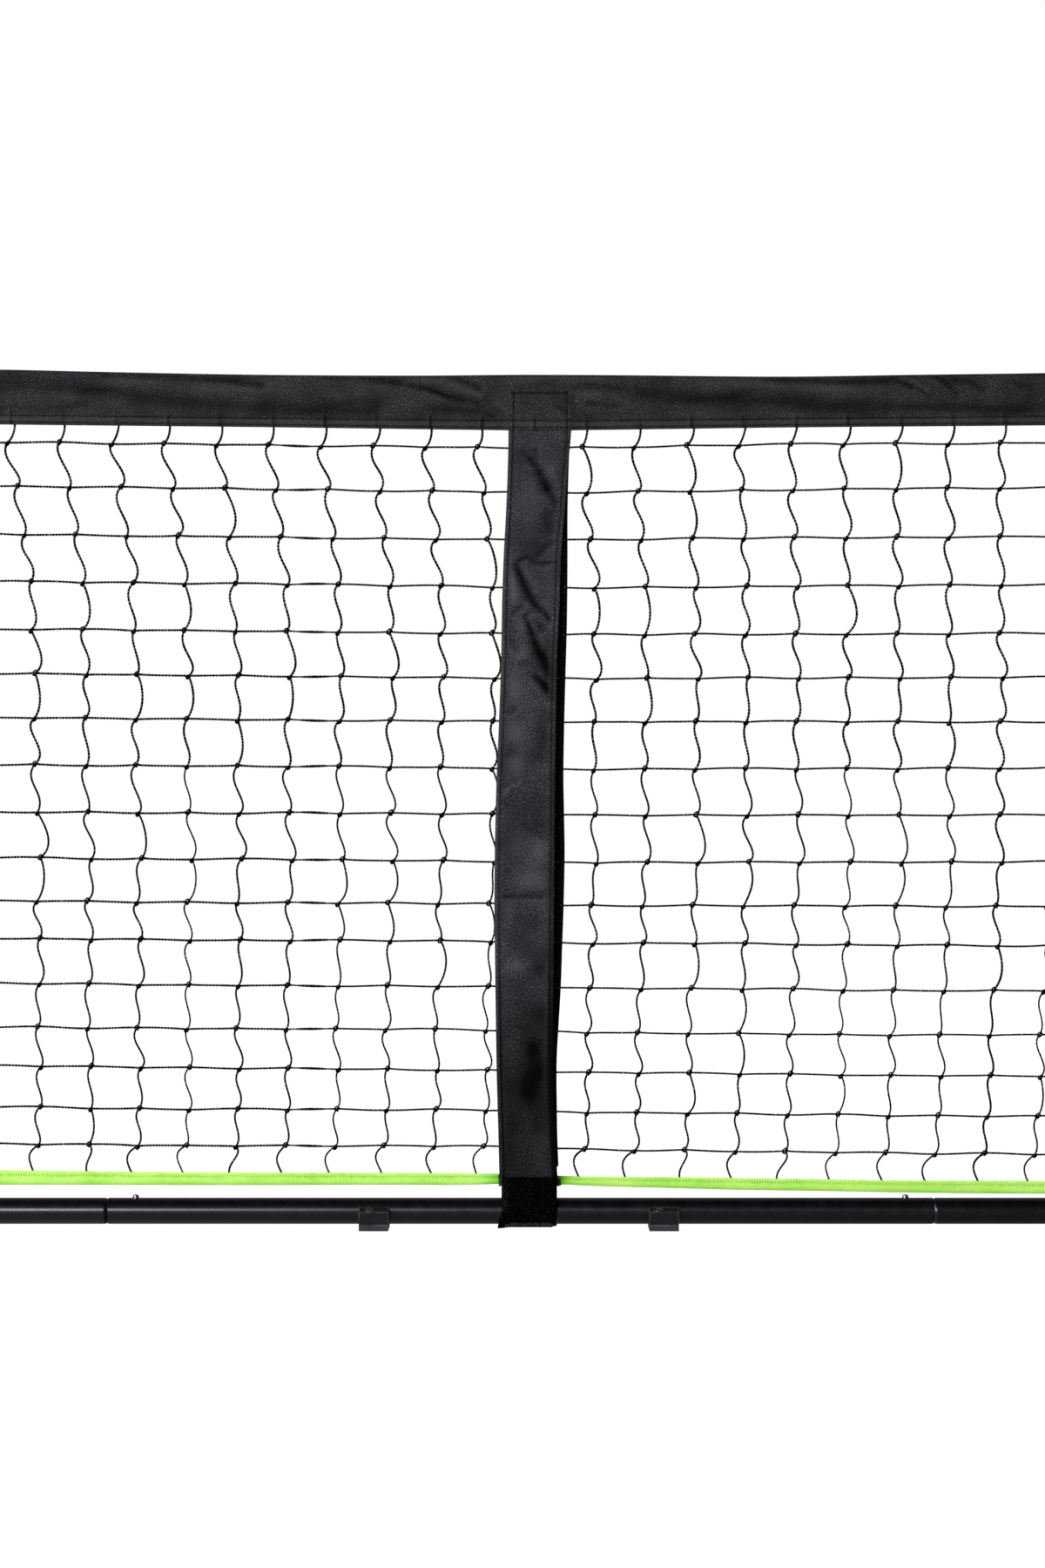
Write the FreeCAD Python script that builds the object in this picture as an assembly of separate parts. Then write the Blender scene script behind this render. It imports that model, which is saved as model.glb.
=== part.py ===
import FreeCAD
import Part
import math
import os

# Portable low court net on a knock-down frame of round steel tube, in millimetres.
# X runs along the net, Y runs through it and Z is up. The origin is on the floor, midway
# between the two poles. Left is -X and front is -Y.

Vector = FreeCAD.Vector
ORIGIN = Vector(0, 0, 0)
ALONG_X = Vector(1, 0, 0)
ALONG_Y = Vector(0, 1, 0)
UP = Vector(0, 0, 1)
SIDES = {"left": -1, "right": 1}
FACINGS = {"front": -1, "back": 1}

# Court sizes
pole_spacing = 6706.0
end_height = 914.0
centre_height = 864.0
level_half_width = 264.0

# Frame tube
tube_diameter = 26.5
tube_wall = 1.2
tube_floor_gap = 4.75
edge_bevel = 0.4
neck_clearance = 0.15
neck_length = 60.0
shoulder_length = 4.0
centre_tube_length = 834.8
side_tubes_per_side = 3

# End hubs, cross feet and poles
hub_stub_length = 120.0
cross_tube_length = 200.0
cross_tube_wall = 2.2
foot_tube_length = 290.0
socket_top = 150.0
pole_neck_length = 80.0
pole_rise = 10.0
pole_cap_head = 5.0
pole_cap_overhang = 1.0
pole_cap_plug_length = 22.0
plug_clearance = 0.1

# Rubber caps on the cross feet
foot_cap_length = 42.0
foot_cap_end_wall = 5.0
foot_cap_flat_depth = 0.5
foot_cap_clearance = 0.1

# Spring buttons
button_diameter = 6.4
button_hole_clearance = 0.4
button_inset = 28.0
button_rise = 3.35
button_dome_round = 2.2
flange_overhang = 1.3
flange_thickness = 1.0
flange_clearance = 0.15
spring_strip_width = 8.0
spring_strip_thickness = 0.8
spring_reach = 37.0
spring_pad_half_length = 5.0
spring_clearance = 0.1

# Clip-on feet under the centre tube
centre_foot_spacing = 292.6
centre_foot_shift = -1.7
centre_foot_width = 29.6
centre_foot_depth = 56.0
centre_foot_shoulder_rise = 1.1
centre_foot_lip_rise = 5.5
centre_foot_lip_reach = 11.0
saddle_clearance = 0.05
pad_edge_height = 5.9
pad_web_height = 2.2
pad_edge_depth = 12.0
screw_offset_left = -4.9
screw_offset_right = -6.2
screw_inset = 7.5
screw_shank_diameter = 3.5
screw_hole_clearance = 0.1
screw_head_diameter = 7.0
screw_head_height = 2.2
screw_pocket_clearance = 1.0
screw_seat_rise = 1.4
screw_tip_height = 1.5

# Net and the cloth sewn to it
net_cord_diameter = 2.3
net_columns = 50
net_rows = 6
slot_clearance = 0.15
cloth_thickness = 0.8
headband_height = 55.5
headband_net_overlap = 12.0
rope_diameter = 4.0
rope_clearance = 0.5
rope_eye_extra = 0.3
rope_eye_clearance = 0.3
rope_bend_run = 60.0
binding_height = 13.6
binding_thickness = 0.6
binding_button_gap = 0.6
binding_wave_height = 4.5
binding_wave_length = 2120.0
binding_spans = 32
binding_net_clearance = 0.5
sleeve_clearance = 0.6
sleeve_hem_length = 25.0
sleeve_slot_length = 15.0
sleeve_net_overlap = 10.0
sleeve_tube_gap = 5.75
sleeve_top_drop = 12.0
sewn_gap = 0.3

# Centre strap, sewn into the headband's fold and looped under the centre tube
strap_thickness = 1.2
strap_top_drop = 19.4
strap_front_rise = 35.4
strap_back_rise = 44.0
strap_knot_room = 1.15
strap_pocket_clearance = 0.15
strap_pocket_margin = 0.5
strap_pocket_ease = 5.0
strap_pocket_rise = 3.0
touch_tape_width = 56.0
touch_tape_thickness = 1.6
touch_tape_clearance = 0.35
touch_tape_overlap = 15.0
touch_layer_gap = 0.15
hook_patch_thickness = 1.2
hook_patch_height = 40.0
tail_hinge_rise = 10.0
tail_length = 80.0
tail_hinge_gap = 0.3

# Each station of a strap panel gives its share of the way down, the place of its middle
# along X, and its width. The front panel bows to the left and the back one hangs straighter.
strap_front_stations = [
    (0.00, 18.5, 63.4), (0.12, 15.4, 63.0), (0.21, 11.7, 60.0), (0.28, 8.6, 59.0),
    (0.34, 6.9, 60.8), (0.61, 4.8, 58.6), (0.94, 6.4, 56.4), (1.00, 9.0, 56.4),
]
strap_back_stations = [
    (0.00, 18.5, 63.4), (0.12, 17.0, 60.0), (0.28, 17.5, 60.0),
    (0.46, 14.3, 59.5), (0.62, 12.6, 59.0), (1.00, 9.0, 57.0),
]

# Corner ties, sewn to the sleeve hems and looped under the hub stubs
tie_width = 19.0
tie_thickness = 1.5
tie_clearance = 0.35
tie_hem_gap = 0.15
tie_sewn_rise = 25.0
tie_top_rise = 49.0

# Sizes worked out from those above
tube_radius = tube_diameter / 2
bore_radius = tube_radius - tube_wall
neck_radius = bore_radius - neck_clearance
neck_bore_radius = neck_radius - tube_wall
axis_height = tube_floor_gap + tube_radius
tube_top = axis_height + tube_radius
pole_x = pole_spacing / 2
centre_tube_end = centre_tube_length / 2
side_tube_length = (pole_x - hub_stub_length - centre_tube_end) / side_tubes_per_side
cross_tube_end = cross_tube_length / 2
button_radius = button_diameter / 2
button_hole_radius = button_radius + button_hole_clearance
flange_radius = button_radius + flange_overhang
flange_top = math.sqrt(neck_bore_radius**2 - flange_radius**2) - flange_clearance
flange_bottom = flange_top - flange_thickness
slot_half = net_cord_diameter / 2 + slot_clearance
hem_half = slot_half + cloth_thickness
rope_radius = rope_diameter / 2
fold_inner = rope_radius + rope_clearance
fold_outer = fold_inner + cloth_thickness
headband_slope = (end_height - centre_height) / (pole_x - level_half_width)
sleeve_inner = tube_radius + sleeve_clearance
sleeve_outer = sleeve_inner + cloth_thickness
hem_end_x = pole_x - sleeve_outer - sleeve_hem_length
cloth_end_x = hem_end_x - sewn_gap
wrap_inner = tube_radius + touch_tape_clearance
wrap_outer = wrap_inner + touch_tape_thickness
strap_foot_x = strap_front_stations[-1][1]
strap_seat = net_cord_diameter / 2 + strap_knot_room
pocket_outer = strap_seat + strap_thickness + strap_pocket_clearance + cloth_thickness
hem_height = centre_height - headband_height
strap_top = centre_height - strap_top_drop
strap_front_bottom = axis_height + strap_front_rise
strap_back_bottom = axis_height + strap_back_rise
tail_hinge_height = axis_height + tail_hinge_rise
binding_middle = tube_top + button_rise + binding_button_gap + binding_wave_height + binding_height
sleeve_bottom = tube_top + sleeve_tube_gap
tie_sewn_bottom = sleeve_bottom + tie_sewn_rise
tie_top = sleeve_bottom + tie_top_rise
screw_seat_height = axis_height + screw_seat_rise


def cylinder(radius, length, start, direction):
    return Part.makeCylinder(radius, length, start, direction)


def block(x_span, y_span, z_span):
    size = [max(s) - min(s) for s in (x_span, y_span, z_span)]
    return Part.makeBox(*size, Vector(min(x_span), min(y_span), min(z_span)))


def prism(points, push):
    """A solid pushed out from the flat outline through these points."""
    return Part.Face(Part.makePolygon(points + points[:1])).extrude(push)


def outline(edges):
    return Part.Wire(Part.__sortEdges__(edges))


def line(a, b):
    return Part.LineSegment(a, b).toShape()


def arc(a, middle, b):
    return Part.Arc(a, middle, b).toShape()


def turned(shape, place, angle):
    """Turns a piece about Z and then carries its own origin to a place."""
    moved = shape.copy()
    moved.Placement = FreeCAD.Placement(place, FreeCAD.Rotation(UP, angle))
    return moved


def spun(edges):
    """A solid of revolution about the X axis."""
    return Part.Face(outline(edges)).revolve(ORIGIN, ALONG_X, 360)


def plain_tube(length):
    """A straight tube along X, with its outer edges eased at both ends."""
    corners = [
        (0, bore_radius), (0, tube_radius - edge_bevel), (edge_bevel, tube_radius),
        (length - edge_bevel, tube_radius), (length, tube_radius - edge_bevel),
        (length, bore_radius),
    ]
    points = [Vector(x, 0, r) for x, r in corners]
    return spun([line(a, b) for a, b in zip(points, points[1:] + points[:1])])


def necked_tube(length, neck):
    """A tube along X whose far end is drawn down to slide into the next tube.

    The full diameter ends at a rounded shoulder, and the joint is at x = length.
    """
    start = Vector(0, 0, bore_radius)
    rim = Vector(0, 0, tube_radius - edge_bevel)
    eased = Vector(edge_bevel, 0, tube_radius)
    shoulder = Vector(length - shoulder_length, 0, tube_radius)
    drop = tube_radius - neck_radius
    crown = Vector(length - 0.35 * shoulder_length, 0, tube_radius - 0.3 * drop)
    root = Vector(length, 0, neck_radius)
    tip = Vector(length + neck - edge_bevel, 0, neck_radius)
    nose = Vector(length + neck, 0, neck_radius - edge_bevel)
    mouth = Vector(length + neck, 0, neck_bore_radius)
    throat = Vector(length, 0, neck_bore_radius)
    taper = Vector(length - 2 * shoulder_length, 0, bore_radius)
    return spun([
        line(start, rim), line(rim, eased), line(eased, shoulder),
        arc(shoulder, crown, root), line(root, tip), line(tip, nose), line(nose, mouth),
        line(mouth, throat), line(throat, taper), line(taper, start),
    ])


def button_hole(x, y=0.0):
    """The drill that opens the top wall of a tube whose axis is at z = 0."""
    return cylinder(button_hole_radius, tube_diameter, Vector(x, y, 0), UP)


def centre_tube():
    tube = plain_tube(centre_tube_length)
    holes = [button_hole(button_inset), button_hole(centre_tube_length - button_inset)]
    return turned(tube.cut(holes), Vector(-centre_tube_end, 0, axis_height), 0)


def side_tube(side, count):
    holes = [button_hole(button_inset), button_hole(side_tube_length + button_inset)]
    tube = necked_tube(side_tube_length, neck_length).cut(holes)
    outer_x = side * (centre_tube_end + count * side_tube_length)
    return turned(tube, Vector(outer_x, 0, axis_height), 0 if side < 0 else 180)


def hub(side):
    """The welded end hub: a heavy cross tube, with the base line's stub and the pole's socket
    coped and welded to it."""
    cross = cylinder(bore_radius + cross_tube_wall, cross_tube_length,
                     Vector(0, -cross_tube_end, 0), ALONG_Y)
    bore = cylinder(bore_radius, cross_tube_length, Vector(0, -cross_tube_end, 0), ALONG_Y)
    drill_y = cross_tube_end - button_inset
    drills = [button_hole(0, -drill_y), button_hole(0, drill_y)]
    stub_drill = button_hole(hub_stub_length + button_inset)
    stub = necked_tube(hub_stub_length, neck_length).cut([cross, stub_drill])
    stub_core = cylinder(tube_radius, hub_stub_length / 2, ORIGIN, ALONG_X)
    rise = socket_top - axis_height
    socket_bore = cylinder(bore_radius, rise, ORIGIN, UP)
    socket = cylinder(tube_radius, rise, ORIGIN, UP).cut([socket_bore, cross, stub_core])
    welded = cross.cut([bore] + drills).fuse([stub, socket]).removeSplitter()
    return turned(welded, Vector(side * pole_x, 0, axis_height), 0 if side < 0 else 180)


def foot_tube(side, facing):
    tube = necked_tube(foot_tube_length, neck_length)
    tube = tube.cut(button_hole(foot_tube_length + button_inset))
    outer_y = facing * (cross_tube_end + foot_tube_length)
    return turned(tube, Vector(side * pole_x, outer_y, axis_height), 90 if facing < 0 else -90)


def foot_cap(side, facing):
    """A rubber boot over the end of a foot tube, flat where it stands on the floor."""
    radius = axis_height + foot_cap_flat_depth
    grip = foot_cap_length - foot_cap_end_wall
    boot = cylinder(radius, foot_cap_length, Vector(-foot_cap_end_wall, 0, 0), ALONG_X)
    boot = boot.makeFillet(2.0, boot.Edges)
    bore = cylinder(tube_radius + foot_cap_clearance, grip, ORIGIN, ALONG_X)
    floor = block((-foot_cap_length, 2 * grip), (-radius, radius), (-2 * radius, -axis_height))
    boot = boot.cut([bore, floor])
    outer_y = facing * (cross_tube_end + foot_tube_length)
    return turned(boot, Vector(side * pole_x, outer_y, axis_height), 90 if facing < 0 else -90)


def pole(side):
    """An upright whose drawn-down foot slides into the hub socket."""
    length = end_height + pole_rise - socket_top
    upright = necked_tube(length, pole_neck_length)
    upright.rotate(ORIGIN, ALONG_Y, 90)
    upright.translate(Vector(side * pole_x, 0, end_height + pole_rise))
    return upright


def pole_cap(side):
    top = Vector(side * pole_x, 0, end_height + pole_rise)
    head = cylinder(tube_radius + pole_cap_overhang, pole_cap_head, top, UP)
    crown = [e for e in head.Edges if e.BoundBox.ZMin > top.z + pole_cap_head / 2]
    head = head.makeFillet(0.5 * pole_cap_head, crown)
    plug = cylinder(bore_radius - plug_clearance, pole_cap_plug_length, top, -UP)
    return head.fuse(plug)


def button():
    """The domed steel button, on its own flange, with the tube's axis at z = 0."""
    top = tube_radius + button_rise
    flange = cylinder(flange_radius, flange_thickness, Vector(0, 0, flange_bottom), UP)
    stem = cylinder(button_radius, top - flange_top, Vector(0, 0, flange_top), UP)
    rim = [e for e in stem.Edges if e.BoundBox.ZMin > top - edge_bevel]
    dome = min(button_dome_round, 0.9 * button_radius)
    return stem.makeFillet(dome, rim).fuse(flange)


def button_spring():
    """The V of spring strip behind a button, open towards the neck's tip."""
    top = flange_bottom - spring_clearance
    half = spring_strip_width / 2
    foot = spring_clearance - math.sqrt(neck_bore_radius**2 - half**2)
    strip = spring_strip_thickness
    lip = spring_pad_half_length
    bend = -spring_reach
    corners = [
        (lip, top), (-lip, top), (bend, 0), (lip, foot), (lip, foot + strip),
        (bend + 4 * strip, 0), (-lip, top - strip), (lip, top - strip),
    ]
    points = [Vector(x, -half, z) for x, z in corners]
    return prism(points, Vector(0, spring_strip_width, 0))


def button_places():
    """The name, place and heading of every spring button, one in each tube joint."""
    places = {}
    for name, side in SIDES.items():
        heading = 0 if side < 0 else 180
        for joint in range(side_tubes_per_side + 1):
            x = side * (centre_tube_end + joint * side_tube_length - button_inset)
            places[f"button_{name}_{joint + 1}"] = (Vector(x, 0, axis_height), heading)
        for facing_name, facing in FACINGS.items():
            y = facing * (cross_tube_end - button_inset)
            heading_y = 90 if facing < 0 else -90
            place = Vector(side * pole_x, y, axis_height)
            places[f"button_foot_{name}_{facing_name}"] = (place, heading_y)
    return places


def centre_foot_x(side):
    return centre_foot_shift + side * centre_foot_spacing / 2


def centre_foot_screw_places(side):
    offset = screw_offset_left if side < 0 else screw_offset_right
    y = centre_foot_depth / 2 - screw_inset
    return [Vector(centre_foot_x(side) + facing * -offset, facing * y, 0) for facing in (-1, 1)]


def centre_foot(side):
    """The clip-on foot: a saddle that grips the tube, with a sloped top and a thin web below."""
    middle = centre_foot_x(side)
    half = centre_foot_depth / 2
    inner = half - pad_edge_depth
    shoulder = axis_height + centre_foot_shoulder_rise
    lip = axis_height + centre_foot_lip_rise
    corners = [
        (-half, pad_edge_height), (-half, shoulder), (-centre_foot_lip_reach, lip),
        (centre_foot_lip_reach, lip), (half, shoulder), (half, pad_edge_height),
        (inner, pad_edge_height), (inner, pad_web_height),
        (-inner, pad_web_height), (-inner, pad_edge_height),
    ]
    start_x = middle - centre_foot_width / 2
    body = prism([Vector(start_x, y, z) for y, z in corners], Vector(centre_foot_width, 0, 0))
    saddle_start = Vector(start_x, 0, axis_height)
    cuts = [cylinder(tube_radius + saddle_clearance, centre_foot_width, saddle_start, ALONG_X)]
    shank = screw_shank_diameter / 2 + screw_hole_clearance
    pocket = screw_head_diameter / 2 + screw_pocket_clearance
    for place in centre_foot_screw_places(side):
        cuts.append(cylinder(shank, lip, place, UP))
        cuts.append(cylinder(pocket, lip, place + Vector(0, 0, screw_seat_height), UP))
    return body.cut(cuts)


def centre_foot_pad(side):
    """The rubber sole under a clip-on foot."""
    middle = centre_foot_x(side)
    half = centre_foot_depth / 2
    inner = half - pad_edge_depth
    corners = [
        (-half, 0), (-half, pad_edge_height), (-inner, pad_edge_height), (-inner, pad_web_height),
        (inner, pad_web_height), (inner, pad_edge_height), (half, pad_edge_height), (half, 0),
    ]
    start_x = middle - centre_foot_width / 2
    sole = prism([Vector(start_x, y, z) for y, z in corners], Vector(centre_foot_width, 0, 0))
    shank = screw_shank_diameter / 2 + screw_hole_clearance
    holes = [
        cylinder(shank, pad_edge_height, place + Vector(0, 0, screw_tip_height), UP)
        for place in centre_foot_screw_places(side)
    ]
    return sole.cut(holes)


def centre_foot_screws():
    """Four pan-head screws that hold the soles to the clip-on feet."""
    screws = []
    length = screw_seat_height - screw_tip_height
    for side in SIDES.values():
        for place in centre_foot_screw_places(side):
            seat = place + Vector(0, 0, screw_seat_height)
            head = cylinder(screw_head_diameter / 2, screw_head_height, seat, UP)
            crown = [e for e in head.Edges if e.BoundBox.ZMin > seat.z + screw_head_height / 2]
            head = head.makeFillet(screw_head_height / 2, crown)
            shank = cylinder(screw_shank_diameter / 2, length, seat, -UP)
            screws.append(head.fuse(shank))
    return Part.makeCompound(screws)


def headband_top(x):
    """The height of the headband's top edge: level in the middle, rising to each pole."""
    return centre_height + headband_slope * max(0.0, abs(x) - level_half_width)


def binding_top(x):
    """The height of the bottom binding's upper edge, which hangs in a slack wave."""
    return binding_middle - binding_wave_height * math.sin(2 * math.pi * x / binding_wave_length)


def binding_stations():
    step = 2 * cloth_end_x / binding_spans
    return [-cloth_end_x + step * i for i in range(binding_spans + 1)]


def strap_pocket():
    """Where the headband swells to hold the strap's top: its two ends along X."""
    edges = []
    for stations in (strap_front_stations, strap_back_stations):
        for _, middle, width in stations[:2]:
            edges += [middle - width / 2, middle + width / 2]
    return min(edges) - strap_pocket_margin, max(edges) + strap_pocket_margin


def headband_section(x):
    """The headband cut across: cloth folded over the rope, open below to take the net."""
    top = headband_top(x)
    bend = top - fold_outer
    hem = top - headband_height
    middle = top - strap_top_drop + strap_pocket_rise
    left, right = strap_pocket()
    if left <= x <= right:
        hem_outer = middle_outer = pocket_outer
    else:
        hem_outer = hem_half
        middle_outer = fold_outer + (hem_half - fold_outer) * (bend - middle) / (bend - hem)

    def side(way, inset, half_top):
        halves = ((hem_outer, hem), (middle_outer, middle))
        return [Vector(x, way * (half - inset), z) for half, z in halves] + [
            Vector(x, way * half_top, bend)]

    outer_back = side(1, 0, fold_outer)
    inner_back = side(1, cloth_thickness, fold_inner)
    inner_front = side(-1, cloth_thickness, fold_inner)
    outer_front = side(-1, 0, fold_outer)
    edges = [
        arc(outer_front[2], Vector(x, 0, top), outer_back[2]),
        arc(inner_back[2], Vector(x, 0, top - cloth_thickness), inner_front[2]),
        line(outer_back[0], inner_back[0]), line(inner_front[0], outer_front[0]),
    ]
    for run in (outer_back, inner_back, inner_front, outer_front):
        edges += [line(a, b) for a, b in zip(run, run[1:])]
    return outline(edges)


def headband():
    left, right = strap_pocket()
    stations = (-cloth_end_x, -level_half_width, left - strap_pocket_ease, left,
                right, right + strap_pocket_ease, level_half_width, cloth_end_x)
    return Part.makeLoft([headband_section(x) for x in stations], True, True)


def rope_height(x):
    return headband_top(x) - fold_outer


def headband_rope():
    """The rope inside the headband, from a tied eye on one pole to one on the other."""
    eye_radius = rope_radius + rope_eye_extra
    eye_middle = tube_radius + rope_eye_clearance + eye_radius
    end_x = pole_x - eye_middle
    route = [Vector(x, 0, rope_height(x)) for x in (-end_x, -level_half_width, level_half_width, end_x)]
    edges = []
    here = route[0]
    for before, corner, after in zip(route, route[1:], route[2:]):
        enter = corner + (before - corner).normalize() * rope_bend_run
        leave = corner + (after - corner).normalize() * rope_bend_run
        half_turn = (before - corner).getAngle(after - corner) / 2
        bend_radius = rope_bend_run * math.tan(half_turn)
        inward = ((enter + leave) * 0.5 - corner).normalize()
        sagitta = bend_radius / math.sin(half_turn) - bend_radius
        edges += [line(here, enter), arc(enter, corner + inward * sagitta, leave)]
        here = leave
    edges.append(line(here, route[-1]))
    path = Part.Wire(edges)
    section = Part.Wire(Part.makeCircle(rope_radius, route[0], route[1] - route[0]))
    rope = path.makePipeShell([section], True, False)
    print("headband rope: volume", round(rope.Volume), "and section times length",
          round(math.pi * rope_radius**2 * path.Length))
    eyes = [
        Part.makeTorus(eye_middle, eye_radius, Vector(side * pole_x, 0, rope_height(end_x)), UP)
        for side in SIDES.values()
    ]
    return rope.fuse(eyes)


def binding_section(x):
    """The binding cut across: tape folded up round the net's lowest cord."""
    top = binding_top(x)
    half = slot_half + binding_thickness
    low = top - binding_height
    corners = [
        (-half, low), (-half, top), (-slot_half, top), (-slot_half, low + binding_thickness),
        (slot_half, low + binding_thickness), (slot_half, top), (half, top), (half, low),
    ]
    points = [Vector(x, y, z) for y, z in corners]
    return Part.makePolygon(points + points[:1])


def bottom_binding():
    return Part.makeLoft([binding_section(x) for x in binding_stations()], True, True)


def net():
    """The net as one flat holed sheet, its edges held in the headband, binding and sleeves."""
    front = -net_cord_diameter / 2
    half_cord = net_cord_diameter / 2
    end_x = hem_end_x + sleeve_net_overlap
    drop = binding_height - binding_thickness - binding_net_clearance
    below = binding_stations()
    below[0], below[-1] = -end_x, end_x
    floor = [Vector(x, front, binding_top(x) - drop) for x in below]
    lift = headband_net_overlap - headband_height
    above = (end_x, level_half_width, -level_half_width, -end_x)
    ceiling = [Vector(x, front, headband_top(x) + lift) for x in above]
    rim = floor + ceiling
    wires = [Part.makePolygon(rim + rim[:1])]
    column = 2 * cloth_end_x / net_columns

    def knot(i, j):
        """The crossing of vertical cord i and level cord j."""
        x = -cloth_end_x + column * i
        low, high = binding_top(x), headband_top(x) - headband_height
        return x, low + (high - low) * j / net_rows

    for i in range(net_columns):
        for j in range(net_rows):
            corners = [(i, j, 1, 1), (i + 1, j, -1, 1), (i + 1, j + 1, -1, -1), (i, j + 1, 1, -1)]
            points = []
            for a, b, right, up in corners:
                x, z = knot(a, b)
                points.append(Vector(x + right * half_cord, front, z + up * half_cord))
            wires.append(Part.makePolygon(points + points[:1]))
    sheet = Part.makeFace(wires, "Part::FaceMakerBullseye")
    return sheet.extrude(Vector(0, net_cord_diameter, 0))


def side_sleeve(side):
    """The cloth pocket that slips over a pole, with a sewn hem that takes the net's edge."""
    height = end_height - sleeve_top_drop - sleeve_bottom
    foot = Vector(side * pole_x, 0, sleeve_bottom)
    rise = (sleeve_bottom, sleeve_bottom + height)
    pocket = cylinder(sleeve_outer, height, foot, UP)
    hem = block((side * pole_x, side * hem_end_x), (-hem_half, hem_half), rise)
    slot_x = (side * hem_end_x, side * (hem_end_x + sleeve_slot_length))
    slot = block(slot_x, (-slot_half, slot_half), rise)
    return pocket.fuse(hem).cut([cylinder(sleeve_inner, height, foot, UP), slot]).removeSplitter()


def panel(stations, top, bottom, face, outward, thickness):
    """A flat panel lofted down through its stations. The face gives its inner side at a height."""
    wires = []
    for share, middle, width in stations:
        z = top + (bottom - top) * share
        inner = outward * face(z)
        outer = inner + outward * thickness
        left, right = middle - width / 2, middle + width / 2
        points = [Vector(x, y, z) for x, y in
                  ((left, inner), (right, inner), (right, outer), (left, outer))]
        wires.append(Part.makePolygon(points + points[:1]))
    return Part.makeLoft(wires, True, True)


def with_hem_station(stations, bottom):
    """The stations of a strap panel and one more where it leaves the headband's lower edge."""
    hem_share = (strap_top - hem_height) / (strap_top - bottom)
    spans = list(zip(stations, stations[1:]))
    before, after = next(s for s in spans if s[0][0] < hem_share < s[1][0])
    part = (hem_share - before[0]) / (after[0] - before[0])
    hem = tuple(a + (b - a) * part for a, b in zip(before, after))
    return sorted([*stations, hem])


def strap_front_face(z):
    """How far in front of the net's plane the front panel's inner side is.

    Inside the headband it is upright. Below, it leans out to pass over the loop tape's end.
    """
    tape_end = strap_front_bottom + touch_tape_overlap
    lean = (wrap_outer + touch_layer_gap - strap_seat) / (hem_height - tape_end)
    return strap_seat + lean * max(0.0, hem_height - z)


def strap_back_face(z):
    """The same for the back panel, which leaves room for the hook patch inside the tail."""
    room = hook_patch_thickness + 2 * touch_layer_gap + strap_thickness
    lean = (wrap_inner - room - strap_seat) / (hem_height - strap_back_bottom)
    return strap_seat + lean * max(0.0, hem_height - z)


def strap_front():
    stations = with_hem_station(strap_front_stations, strap_front_bottom)
    return panel(stations, strap_top, strap_front_bottom, strap_front_face, -1, strap_thickness)


def strap_back():
    stations = with_hem_station(strap_back_stations, strap_back_bottom)
    return panel(stations, strap_top, strap_back_bottom, strap_back_face, 1, strap_thickness)


def strap_hook_patch():
    """The hook tape sewn to the foot of the back panel, which the tail presses on."""
    stations = [(0.0, strap_foot_x, touch_tape_width), (1.0, strap_foot_x, touch_tape_width)]

    def face(z):
        return strap_back_face(z) + strap_thickness + touch_layer_gap

    top = strap_back_bottom + hook_patch_height
    return panel(stations, top, strap_back_bottom, face, 1, hook_patch_thickness)


def strap_wrap():
    """The loop tape: down in front of the tube, under it and up behind to the tail."""
    x = strap_foot_x - touch_tape_width / 2
    front_top = strap_front_bottom + touch_tape_overlap
    back_top = tail_hinge_height - touch_tape_thickness / 2 - tail_hinge_gap

    def ends(radius):
        return [Vector(x, -radius, front_top), Vector(x, -radius, axis_height),
                Vector(x, 0, axis_height - radius), Vector(x, radius, axis_height),
                Vector(x, radius, back_top)]

    inner, outer = ends(wrap_inner), ends(wrap_outer)
    edges = [line(inner[0], outer[0]), line(inner[4], outer[4])]
    for side in (inner, outer):
        edges += [line(side[0], side[1]), arc(*side[1:4]), line(side[3], side[4])]
    return Part.Face(outline(edges)).extrude(Vector(touch_tape_width, 0, 0))


def strap_tail():
    """The free end of the loop tape, which peels back about its rounded lower edge."""
    start = Vector(strap_foot_x - touch_tape_width / 2, wrap_inner, tail_hinge_height)
    leaf = block((start.x, start.x + touch_tape_width), (wrap_inner, wrap_outer),
                 (tail_hinge_height, tail_hinge_height + tail_length))
    half = touch_tape_thickness / 2
    knuckle = cylinder(half, touch_tape_width, start + Vector(0, half, 0), ALONG_X)
    return leaf.fuse(knuckle).removeSplitter()


def corner_tie(side):
    """A webbing loop from both faces of the sleeve hem round the hub stub."""
    middle = pole_x - sleeve_outer - sleeve_hem_length / 2
    start_x = side * middle - tie_width / 2

    def ends(radius, gap):
        half = [Vector(start_x, gap, tie_top), Vector(start_x, gap, tie_sewn_bottom),
                Vector(start_x, radius, tube_top), Vector(start_x, radius, axis_height)]
        return half, [Vector(p.x, -p.y, p.z) for p in half]

    inner_radius = tube_radius + tie_clearance
    edges = []
    tops = []
    for radius, gap in ((inner_radius, hem_half + tie_hem_gap),
                        (inner_radius + tie_thickness, hem_half + tie_hem_gap + tie_thickness)):
        back, front = ends(radius, gap)
        for run in (back, front):
            edges += [line(a, b) for a, b in zip(run, run[1:])]
        edges.append(arc(back[3], Vector(start_x, 0, axis_height - radius), front[3]))
        tops.append((back[0], front[0]))
    edges += [line(tops[0][0], tops[1][0]), line(tops[0][1], tops[1][1])]
    return Part.Face(outline(edges)).extrude(Vector(tie_width, 0, 0))


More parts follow.
